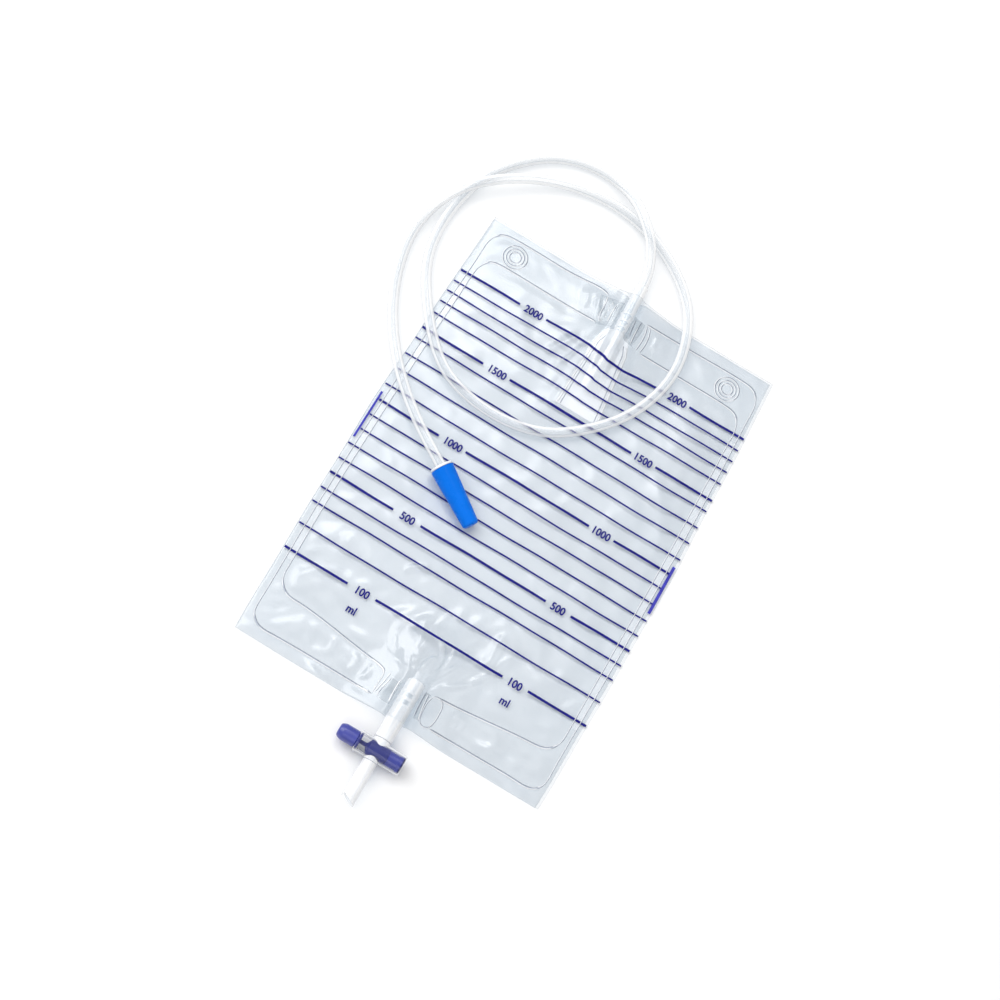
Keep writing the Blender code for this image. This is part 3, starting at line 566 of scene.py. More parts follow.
def ripple_height(x, y):
    """Fine slackness of the film between its folds."""
    total = 0.14e-3 * np.sin(2 * np.pi * (x / 0.031 + 0.35 * np.sin(y / 0.021)))
    total = total + 0.12e-3 * np.sin(2 * np.pi * (y / 0.043 + 0.4 * np.sin(x / 0.027) + 0.3))
    total = total + 0.10e-3 * np.sin(2 * np.pi * ((x + 0.8 * y) / 0.067 + 0.3 * np.sin(y / 0.013)))
    return total + 0.30e-3


def crinkle_height(grid_x, grid_y):
    """Uneven crinkles of a film that was folded flat: waves of 16 to 70 mm in chance directions."""
    chance = np.random.default_rng(11)
    bend_x = grid_x + 0.004 * np.sin(grid_y / 0.017) + 0.003 * np.sin(grid_y / 0.0083 + 1.0)
    bend_y = grid_y + 0.004 * np.sin(grid_x / 0.019 + 2.0) + 0.003 * np.sin(grid_x / 0.0091)
    total = np.zeros(grid_x.shape)
    for _ in range(46):
        wavelength = 0.016 * (70.0 / 16.0) ** chance.random()
        angle = chance.random() * np.pi
        phase = chance.random() * 2 * np.pi
        way = bend_x * np.cos(angle) + bend_y * np.sin(angle)
        wave = np.sin(2 * np.pi * way / wavelength + phase)
        total += (wavelength / 0.070) ** 1.1 * (1.0 - 2.0 * wave**2)
    return CRINKLE_HEIGHT * total / total.std() * (1.0 + 1.3 * smooth((0.150 - grid_y) / 0.080))


def corner_curl(x, y):
    """The bottom left corner curls up off the table."""
    away = smooth((-x - 0.060) / 0.045) * smooth((0.050 - y) / 0.050)
    edge = smooth((0.020 - y) / 0.022) * smooth((-x - 0.020) / 0.030)
    return 0.0020 * away + 0.0006 * edge


def near_tube(x, y):
    """1 well away from the tube and the cap that lie on the film, 0 under them and where the cap
    is drawn off."""
    gap, _ = distance_to(x, y, tube_line(60))
    start = connector_place()
    end = start + connector_direction() * (CONNECTOR_FLANGE + CAP_LENGTH + CAP_PULL + 0.003)
    cap_gap, _ = distance_to(x, y, [start[:2], end[:2]])
    return smooth((gap - 0.004) / 0.014) * smooth((cap_gap - 0.008) / 0.014)


def seam_pull(x, y):
    """0 on the welded seams, rising to 1 where the films stand free of each other."""
    best = np.full(np.shape(x), 1e9)
    for seam in SEAMS:
        gap, _ = distance_to(x, y, np.array(seam) / 1000)
        best = np.minimum(best, gap)
    return smooth((best - 0.0008) / 0.007)


def back_height(x, y):
    """Upper side of the back film."""
    u = from_axis(x, y)
    return middle_z(u, y) - room_half(u, y) + corner_curl(x, y)


_front = {}


def front_height_exact(x, y, crinkles):
    u = from_axis(x, y)
    held = middle_z(u, y) + room_half(u, y) + FILM
    share = bpy.context.scene.drainage_bag_sizes.crease_height
    slack = near_tube(x, y) * seam_pull(x, y)
    beside_port = 1.0 - port_hold(y) * (1.0 - smooth((np.abs(u) - 0.006) / 0.005))
    free = swell_height(x, y) + (ripple_height(x, y) + crinkles) * (0.4 + 0.6 * beside_port)
    folds = CREASE_BOOST * crease_height(x, y) + gather_height(x, y)
    return held + corner_curl(x, y) + slack * (free + share * folds)


def film_grid():
    """Grid lines of the front film: closer round the ports."""
    step = bpy.context.scene.drainage_bag_sizes.film_step
    fine = 0.5 * step
    inner, above_outlet, below_inlet = 0.030, 0.066, 0.246
    columns = np.concatenate([
        spaced(-BAG_HALF, -inner, step)[:-1], spaced(-inner, inner, fine)[:-1],
        spaced(inner, BAG_HALF, step)])
    rows = np.concatenate([
        spaced(0.0, above_outlet, fine)[:-1], spaced(above_outlet, below_inlet, step)[:-1],
        spaced(below_inlet, BAG_LENGTH, fine)])
    return columns, rows


def bulged(u, y):
    """Place across the film with the bulge of its sides put in."""
    return u * (1.0 + side_bulge(y) * np.abs(u) / BAG_HALF)


def front_height(x, y):
    """Upper side of the front film, read between the grid points of its mesh."""
    if not _front:
        columns, rows = film_grid()
        u, grid_y = np.meshgrid(columns, rows)
        grid_x = bulged(u, grid_y)
        _front["columns"], _front["rows"] = columns, rows
        _front["z"] = front_height_exact(grid_x, grid_y, crinkle_height(grid_x, grid_y))
    columns, rows, z = _front["columns"], _front["rows"], _front["z"]
    x, y = np.asarray(x, float), np.asarray(y, float)
    u = straightened(x, y)
    i = np.clip(np.searchsorted(columns, u, side="right") - 1, 0, len(columns) - 2)
    j = np.clip(np.searchsorted(rows, y, side="right") - 1, 0, len(rows) - 2)
    a = ramp((u - columns[i]) / (columns[i + 1] - columns[i]))
    b = ramp((y - rows[j]) / (rows[j + 1] - rows[j]))
    low = z[j, i] * (1 - a) + z[j, i + 1] * a
    high = z[j + 1, i] * (1 - a) + z[j + 1, i + 1] * a
    return low * (1 - b) + high * b


def under_the_eye(x, y):
    """Places measured on the photograph's plane of the table, moved down the line of sight
    onto the front film."""
    eye_x, eye_y, eye_z = CAMERA_AT.x, CAMERA_AT.y - BAG_BOTTOM, CAMERA_AT.z
    x, y = np.asarray(x, float), np.asarray(y, float)
    at_x, at_y = x, y
    for _ in range(5):
        share = 1.0 - front_height(at_x, at_y) / eye_z
        at_x, at_y = eye_x + (x - eye_x) * share, eye_y + (y - eye_y) * share
    return at_x, at_y


def line_under_the_eye(line):
    return np.column_stack(under_the_eye(line[:, 0], line[:, 1]))


# Turned and swept meshes


def inlet_direction():
    return Vector((-math.sin(INLET_LEAN), math.cos(INLET_LEAN), 0.0))


def inlet_place():
    return Vector((INLET_X, BAG_LENGTH, INLET_Z))


def valve_place():
    return Vector((OUTLET_X, -OUTLET_OUTSIDE - GAP - COLLAR_REACH, OUTLET_Z))


def connector_direction():
    level = math.cos(CAP_TAPER)
    heading = CONNECTOR_HEADING
    return Vector((level * math.cos(heading), level * math.sin(heading), -math.sin(CAP_TAPER)))


def connector_place():
    return Vector((*CONNECTOR_AT, CAP_REST_Z))


def tube_line(count):
    """The tube's centre line: straight in its two sockets and along the route between them."""
    mouth = inlet_place() + inlet_direction() * INLET_STANDOUT
    start = mouth - inlet_direction() * (TUBE_SOCKET - GAP)
    end = connector_place() + connector_direction() * (CONNECTOR_SOCKET - GAP)
    route = [mouth + inlet_direction() * 0.002]
    route += [Vector((x, y, under + TUBE_RADIUS)) for x, y, under in TUBE_ROUTE]
    route.append(connector_place() - connector_direction() * 0.002)
    return np.array([start, *curve_through(route, count), end])


TURNED_SHARP = 38.0
CUT_SHARP = 30.0
TUBE_SHARP = 60.0


def finish_mesh(mesh, sharp_angle=TURNED_SHARP):
    mesh.validate()
    mesh.shade_smooth()
    mesh.set_sharp_from_angle(angle=math.radians(sharp_angle))
    mesh.update()


def new_object(name, data):
    item = bpy.data.objects.new(name, data)
    bpy.context.scene.collection.objects.link(item)
    return item


def mesh_of(name, bm):
    mesh = bpy.data.meshes.new(name)
    bm.to_mesh(mesh)
    bm.free()
    return mesh


def closed_mesh(name, verts, faces):
    """A mesh of points and faces, with all its faces turned outwards."""
    mesh = bpy.data.meshes.new(name)
    mesh.from_pydata(verts, [], faces)
    bm = bmesh.new()
    bm.from_mesh(mesh)
    bmesh.ops.recalc_face_normals(bm, faces=bm.faces)
    bm.to_mesh(mesh)
    bm.free()
    return mesh


def turned(name, profile, closed=True):
    """A mesh of revolution about z; the profile is (radius, height) points down the outer side."""
    steps = bpy.context.scene.drainage_bag_sizes.turned_steps
    verts, rings = [], []
    for radius, height in profile:
        if radius < 1e-7:
            rings.append([len(verts)])
            verts.append((0.0, 0.0, height))
            continue
        rings.append(list(range(len(verts), len(verts) + steps)))
        for k in range(steps):
            angle = 2 * math.pi * k / steps
            verts.append((radius * math.cos(angle), radius * math.sin(angle), height))
    pairs = list(zip(rings, rings[1:]))
    if closed:
        pairs.append((rings[-1], rings[0]))
    faces = []
    for upper, lower in pairs:
        for k in range(steps):
            n = (k + 1) % steps
            if len(upper) == 1 and len(lower) == 1:
                break
            if len(upper) == 1:
                faces.append((upper[0], lower[k], lower[n]))
            elif len(lower) == 1:
                faces.append((upper[k], lower[0], upper[n]))
            else:
                faces.append((upper[k], lower[k], lower[n], upper[n]))
    return closed_mesh(name, verts, faces)


def arc(radius, height, size, start, end, count):
    points = []
    for i in range(count + 1):
        angle = math.radians(start + (end - start) * i / count)
        points.append((radius + size * math.cos(angle), height + size * math.sin(angle)))
    return points


EASED_CORNER = 0.00025


def rounded(profile, size=EASED_CORNER, steps=3):
    """The same closed profile with its corners eased."""
    result = []
    count = len(profile)
    for i, corner in enumerate(profile):
        before = np.array(profile[i - 1], float)
        at = np.array(corner, float)
        after = np.array(profile[(i + 1) % count], float)
        back, ahead = before - at, after - at
        reach_back, reach_ahead = np.linalg.norm(back), np.linalg.norm(ahead)
        if at[0] < 1e-7 or min(reach_back, reach_ahead) < 1e-6:
            result.append(tuple(at))
            continue
        reach = min(size, 0.45 * reach_back, 0.45 * reach_ahead)
        first = at + back / reach_back * reach
        last = at + ahead / reach_ahead * reach
        for k in range(steps + 1):
            t = k / steps
            result.append(tuple((1 - t) ** 2 * first + 2 * t * (1 - t) * at + t**2 * last))
    return result


def on_frame(place):
    """A place on the bag's own plane, in the frame's axes."""
    return Vector(place) + Vector((0.0, BAG_BOTTOM, 0.0))


def placed(mesh, place, direction):
    """Moves a mesh so that its z axis points along a direction of the bag's plane."""
    turn = Vector(direction).to_track_quat("Z", "Y").to_matrix().to_4x4()
    mesh.transform(Matrix.Translation(on_frame(place)) @ turn)
    return mesh


def add_piece(name, mesh, body, material, nodes=()):
    piece = new_object(name, mesh)
    mesh.materials.clear()
    mesh.materials.append(material)
    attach(piece, body)
    if nodes:
        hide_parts(*nodes)
    return piece


def share_faces(mesh, materials, pick):
    """Adds materials to a piece. For each face, pick gives the number of its material: 0 for the
    piece's own, and 1 or more for the added ones."""
    for material in materials:
        mesh.materials.append(material)
    for face in mesh.polygons:
        face.material_index = int(pick(face))


def add_turned(name, profile, place, way, body, material, node, closed=True):
    """A turned piece that stands for a node."""
    mesh = placed(turned(name, profile, closed), place, way)
    finish_mesh(mesh)
    add_piece(name, mesh, body, material, [node])
    return mesh


def boolean_mesh(name, base, steps):
    """The mesh left when cutters are added to or taken from a base mesh, in order."""
    target = new_object(name, base)
    helpers = []
    for operation, mesh in steps:
        helper = new_object(name + "_cutter", mesh)
        helpers.append(helper)
        modifier = target.modifiers.new(operation, "BOOLEAN")
        modifier.object = helper
        modifier.operation = operation
        modifier.solver = "EXACT"
    graph = bpy.context.evaluated_depsgraph_get()
    result = bpy.data.meshes.new_from_object(target.evaluated_get(graph))
    for item in [target, *helpers]:
        data = item.data
        bpy.data.objects.remove(item, do_unlink=True)
        bpy.data.meshes.remove(data)
    if len(result.polygons) < 10:
        raise RuntimeError(name + " came out empty")
    result.name = name
    return result


def sheet_mesh(name, top, bottom):
    """A thin closed solid between two grids of points, rows by columns by 3."""
    rows, columns = top.shape[:2]
    verts = np.concatenate([top.reshape(-1, 3), bottom.reshape(-1, 3)])
    verts[:, 1] += BAG_BOTTOM
    index = np.arange(rows * columns).reshape(rows, columns)
    a, b = index[:-1, :-1].ravel(), index[:-1, 1:].ravel()
    c, d = index[1:, 1:].ravel(), index[1:, :-1].ravel()
    under = rows * columns
    loop = np.concatenate([index[0, :], index[1:, -1], index[-1, -2::-1], index[-2:0:-1, 0]])
    ahead = np.roll(loop, -1)
    faces = np.concatenate([
        np.column_stack([a, b, c, d]), np.column_stack([d, c, b, a]) + under,
        np.column_stack([loop, loop + under, ahead + under, ahead])])
    mesh = bpy.data.meshes.new(name)
    mesh.from_pydata(verts.tolist(), [], faces.tolist())
    mesh.shade_smooth()
    mesh.update()
    return mesh


def spaced(start, end, step):
    return np.linspace(start, end, max(2, int(round((end - start) / step)) + 1))


def ways_of(line, closed=False):
    """The way along a line at each of its points, and the way across it to its left."""
    if closed:
        along = np.roll(line, -1, axis=0) - np.roll(line, 1, axis=0)
    else:
        along = np.gradient(line, axis=0)
    along /= np.linalg.norm(along, axis=1)[:, None]
    return along, np.column_stack([-along[:, 1], along[:, 0]])


def strip_faces(first, size, count, closed=False):
    """Faces of a strip whose points start at number first: size lines of count points each."""
    faces = []
    for i in range(count if closed else count - 1):
        n = (i + 1) % count
        for k in range(size):
            m = (k + 1) % size
            faces.append((first + k * count + i, first + k * count + n,
                          first + m * count + n, first + m * count + i))
    return faces


def strip_ends(first, size, count):
    start = [first + k * count for k in range(size)]
    return [start, [corner + count - 1 for corner in reversed(start)]]


BEAD_SHAPE = [(-0.5, 0.0), (-0.38, 0.55), (-0.14, 0.95), (0.14, 0.95), (0.38, 0.55), (0.5, 0.0)]
BEAD_LIFT = 0.00004


def bead_mesh(name, lines, width, height, slim_sides=False):
    """Rounded ridges that follow lines over the front film. Closed lines repeat their first
    point."""
    verts, faces = [], []
    for line, scale in lines:
        line = np.asarray(line, float)
        closed = np.allclose(line[0], line[-1])
        if closed:
            line = line[:-1]
        along, across = ways_of(line, closed)
        count = len(line)
        taper = np.ones(count)
        narrow = 1.0 - 0.5 * smooth((np.abs(along[:, 1]) - 0.75) / 0.2) if slim_sides else 1.0
        if not closed:
            ends = np.minimum(np.arange(count), np.arange(count)[::-1]) / 3.0
            taper = np.sqrt(np.clip(ends + 0.05, 0.0, 1.0))
        first = len(verts)
        for offset, rise in BEAD_SHAPE:
            x = line[:, 0] + across[:, 0] * offset * width * scale * taper * narrow
            y = line[:, 1] + across[:, 1] * offset * width * scale * taper * narrow
            z = front_height(x, y) + BEAD_LIFT + rise * height * taper
            verts += np.column_stack([x, y + BAG_BOTTOM, z]).tolist()
        faces += strip_faces(first, len(BEAD_SHAPE), count, closed)
        if not closed:
            faces += strip_ends(first, len(BEAD_SHAPE), count)
    mesh = closed_mesh(name, verts, faces)
    mesh.shade_smooth()
    mesh.update()
    return mesh


RIBBON_STEP = 0.0008


def ribbon_mesh(name, lines, low, high):
    """Thin closed strips just above the film. Each line has places as the camera sees them and a
    width, or one width for each place."""
    verts, faces = [], []
    for line, width in lines:
        line = line_under_the_eye(line)
        _, across = ways_of(line)
        count = len(line)
        width = np.broadcast_to(width, (count,))
        parts = max(3, int(np.max(width) / RIBBON_STEP) + 1)
        sides = np.linspace(0.5, -0.5, parts)
        first = len(verts)
        for side, lift in [(side, low) for side in sides] + [(side, high) for side in sides[::-1]]:
            x = line[:, 0] + across[:, 0] * side * width
            y = line[:, 1] + across[:, 1] * side * width
            verts += np.column_stack([x, y + BAG_BOTTOM, front_height(x, y) + lift]).tolist()
        size = 2 * parts
        faces += strip_faces(first, size, count)
        for k in range(parts - 1):
            m = size - 1 - k
            for i, flip in ((0, False), (count - 1, True)):
                face = [first + n * count + i for n in (k, k + 1, m - 1, m)]
                faces.append(face[::-1] if flip else face)
    mesh = closed_mesh(name, verts, faces)
    finish_mesh(mesh)
    return mesh


def seen_line(points, step=0.0012, closed=False):
    """A smooth line through places measured in millimetres on the photograph's plane."""
    points = np.array(points, float) / 1000
    if closed:
        wrapped = np.vstack([points[-3:], points, points[:4]])
        smooth_line = curve_through(wrapped, 40 * len(wrapped))
        gap = np.linalg.norm(smooth_line - points[0], axis=1)
        middle = len(gap) // 2
        piece = smooth_line[np.argmin(gap[:middle]) : middle + np.argmin(gap[middle:])]
        length = np.linalg.norm(np.diff(piece, axis=0), axis=1).sum()
        picks = np.linspace(0, len(piece) - 1, int(length / step)).astype(int)
        line = piece[picks]
    else:
        length = np.linalg.norm(np.diff(points, axis=0), axis=1).sum()
        line = curve_through(points, max(6, int(length / step)))
    line = line_under_the_eye(line)
    return np.vstack([line, line[:1]]) if closed else line


def circle_line(centre, radius, count=48):
    angles = np.linspace(0, 2 * np.pi, count, endpoint=False)
    x, y = centre[0] + radius * np.cos(angles), centre[1] + radius * np.sin(angles)
    line = line_under_the_eye(np.column_stack([x, y]) / 1000)
    return np.vstack([line, line[:1]])


# Shader node groups


def new_group(name, inputs, outputs):
    group = bpy.data.node_groups.new(name, "ShaderNodeTree")
    for label, kind, default in inputs:
        socket = group.interface.new_socket(name=label, in_out="INPUT", socket_type=kind)
        socket.default_value = default
    for label, kind in outputs:
        group.interface.new_socket(name=label, in_out="OUTPUT", socket_type=kind)
    return group, group.nodes.new("NodeGroupInput"), group.nodes.new("NodeGroupOutput")


def add_node(tree, kind, inputs, **settings):
    """A shader node. Each of its inputs is set to a value, or linked to another node's output."""
    node = tree.nodes.new("ShaderNode" + kind)
    for key, value in settings.items():
        setattr(node, key, value)
    set_inputs(tree, node, inputs)
    return node


def set_inputs(tree, node, inputs):
    for key, value in inputs.items():
        if isinstance(value, bpy.types.NodeSocket):
            tree.links.new(value, node.inputs[key])
        else:
            node.inputs[key].default_value = value


def clouding_group():
    """Slow uneven tint of a moulded or rolled plastic."""
    found = bpy.data.node_groups.get("plastic_clouding")
    if found:
        return found
    group, start, end = new_group(
        "plastic_clouding",
        [("Colour", "NodeSocketColor", (0.8, 0.8, 0.8, 1.0)),
         ("Cloud Colour", "NodeSocketColor", (0.9, 0.9, 0.9, 1.0)),
         ("Scale", "NodeSocketFloat", 20.0), ("Amount", "NodeSocketFloat", 0.5),
         ("Roughness Low", "NodeSocketFloat", 0.1), ("Roughness High", "NodeSocketFloat", 0.2)],
        [("Colour", "NodeSocketColor"), ("Roughness", "NodeSocketFloat"),
         ("Mask", "NodeSocketFloat")])
    place = add_node(group, "TexCoord", {})
    noise = add_node(group, "TexNoise", {
        "Detail": 4.0, "Roughness": 0.55,
        "Vector": place.outputs["Object"], "Scale": start.outputs["Scale"]})
    spread = add_node(group, "MapRange", {
        "From Min": 0.35, "From Max": 0.65, "Value": noise.outputs["Fac"]})
    amount = add_node(group, "Math", {
        0: spread.outputs["Result"], 1: start.outputs["Amount"]}, operation="MULTIPLY")
    colour = add_node(group, "Mix", {
        "Factor": amount.outputs[0], "A": start.outputs["Colour"],
        "B": start.outputs["Cloud Colour"]}, data_type="RGBA")
    rough = add_node(group, "MapRange", {
        "Value": spread.outputs["Result"], "To Min": start.outputs["Roughness Low"],
        "To Max": start.outputs["Roughness High"]})
    set_inputs(group, end, {
        "Colour": colour.outputs["Result"], "Roughness": rough.outputs["Result"],
        "Mask": amount.outputs[0]})
    return group


def grain_group():
    """Fine uneven surface: a slow flow with a small grain on it."""
    found = bpy.data.node_groups.get("plastic_grain")
    if found:
        return found
    group, start, end = new_group(
        "plastic_grain",
        [("Flow Scale", "NodeSocketFloat", 60.0), ("Grain Scale", "NodeSocketFloat", 900.0),
         ("Grain Share", "NodeSocketFloat", 0.3)],
        [("Height", "NodeSocketFloat")])
    place = add_node(group, "TexCoord", {})
    flow = add_node(group, "TexNoise", {
        "Detail": 3.0, "Distortion": 0.6,
        "Vector": place.outputs["Object"], "Scale": start.outputs["Flow Scale"]})
    grain = add_node(group, "TexNoise", {
        "Detail": 2.0, "Vector": place.outputs["Object"], "Scale": start.outputs["Grain Scale"]})
    blend = add_node(group, "Mix", {
        "Factor": start.outputs["Grain Share"], "A": flow.outputs["Fac"],
        "B": grain.outputs["Fac"]})
    set_inputs(group, end, {"Height": blend.outputs["Result"]})
    return group


def plastic_material(name, colour, cloud, scale, amount, rough, flow, grain, grain_share,
                     bump_strength, bump_distance):
    """A Principled material with clouded colour and a grained surface, and its shader."""
    found = bpy.data.materials.get(name)
    if found:
        return found, found.node_tree.nodes["Principled BSDF"]
    material = bpy.data.materials.new(name)
    material.use_nodes = True
    tree = material.node_tree
    shader = tree.nodes["Principled BSDF"]
    clouding = add_node(tree, "Group", {
        "Colour": (*colour, 1.0), "Cloud Colour": (*cloud, 1.0), "Scale": scale,
        "Amount": amount, "Roughness Low": rough[0], "Roughness High": rough[1]},
        node_tree=clouding_group())
    surface = add_node(tree, "Group", {
        "Flow Scale": flow, "Grain Scale": grain, "Grain Share": grain_share},
        node_tree=grain_group())
    bump = add_node(tree, "Bump", {
        "Strength": bump_strength, "Distance": bump_distance,
        "Height": surface.outputs["Height"]})
    set_inputs(tree, shader, {
        "Base Color": clouding.outputs["Colour"], "Roughness": clouding.outputs["Roughness"],
        "Normal": bump.outputs["Normal"]})
    return material, shader


def let_light_through(tree, tint, shown):
    """Clear plastic throws only a faint shadow: light on its way to what lies under it passes
    tinted, whichever way the renderer finds that light."""
    rays = add_node(tree, "LightPath", {})
    clear = add_node(tree, "BsdfTransparent", {"Color": (*tint, 1.0)})
    passing = add_node(tree, "Math", {
        0: rays.outputs["Is Shadow Ray"], 1: rays.outputs["Is Diffuse Ray"]}, operation="MAXIMUM")
    blend = add_node(tree, "MixShader", {
        "Fac": passing.outputs[0], 1: shown, 2: clear.outputs["BSDF"]})
    set_inputs(tree, tree.nodes["Material Output"], {"Surface": blend.outputs["Shader"]})


def clear_material(name, stops, through, rough, scale=50.0, flow=60.0, bump=0.1, cloud=0.9,
                   gloss_ior=1.48):
    """A clear or milky plastic wall. Each stop is how far the wall turns from the eye (0 square on,
    1 edge on), its colour there and how much it covers. Only faces turned to the eye count, so a
    thin wall isn't counted twice, and a gloss lies over it."""
    found = bpy.data.materials.get(name)
    if found:
        return found
    material, shader = plastic_material(
        name, (cloud, cloud, cloud), WHITE, scale, 1.0, rough, flow, 900.0, 0.1, bump, 0.0004)
    tree = material.node_tree
    # the ramp below sets colour by how far the wall turns from the eye; on the tube, ports, valve
    # and tip its white walls and grey edge lines are painted light and shade in place of refraction
    turn = add_node(tree, "LayerWeight", {"Blend": 0.5})
    cover = add_node(tree, "ValToRGB", {"Fac": turn.outputs["Facing"]})
    elements = cover.color_ramp.elements
    while len(elements) < len(stops):
        elements.new(0.5)
    for element, (at, colour, share) in zip(elements, stops):
        element.position = at
        element.color = (*colour, share)
    base = shader.inputs["Base Color"]
    tint = add_node(tree, "Mix", {
        "Factor": 1.0, "A": base.links[0].from_socket, "B": cover.outputs["Color"]},
        data_type="RGBA", blend_type="MULTIPLY")
    side = add_node(tree, "NewGeometry", {})
    front = add_node(tree, "Math", {0: 1.0, 1: side.outputs["Backfacing"]}, operation="SUBTRACT")
    share = add_node(tree, "Math", {
        0: cover.outputs["Alpha"], 1: front.outputs[0]}, operation="MULTIPLY")
    set_inputs(tree, shader, {
        "Base Color": tint.outputs["Result"], "Alpha": share.outputs[0],
        "Specular IOR Level": 0.0})
    gloss = add_node(tree, "BsdfAnisotropic", {
        "Color": (1.0, 1.0, 1.0, 1.0),
        "Roughness": shader.inputs["Roughness"].links[0].from_socket,
        "Normal": shader.inputs["Normal"].links[0].from_socket})
    fresnel = add_node(tree, "Fresnel", {"IOR": gloss_ior})
    amount = add_node(tree, "Math", {
        0: fresnel.outputs["Fac"], 1: front.outputs[0]}, operation="MULTIPLY")
    shown = add_node(tree, "MixShader", {
        "Fac": amount.outputs[0], 1: shader.outputs["BSDF"], 2: gloss.outputs["BSDF"]})
    let_light_through(tree, through, shown.outputs["Shader"])
    return material


WHITE = (1.0, 1.0, 1.0)


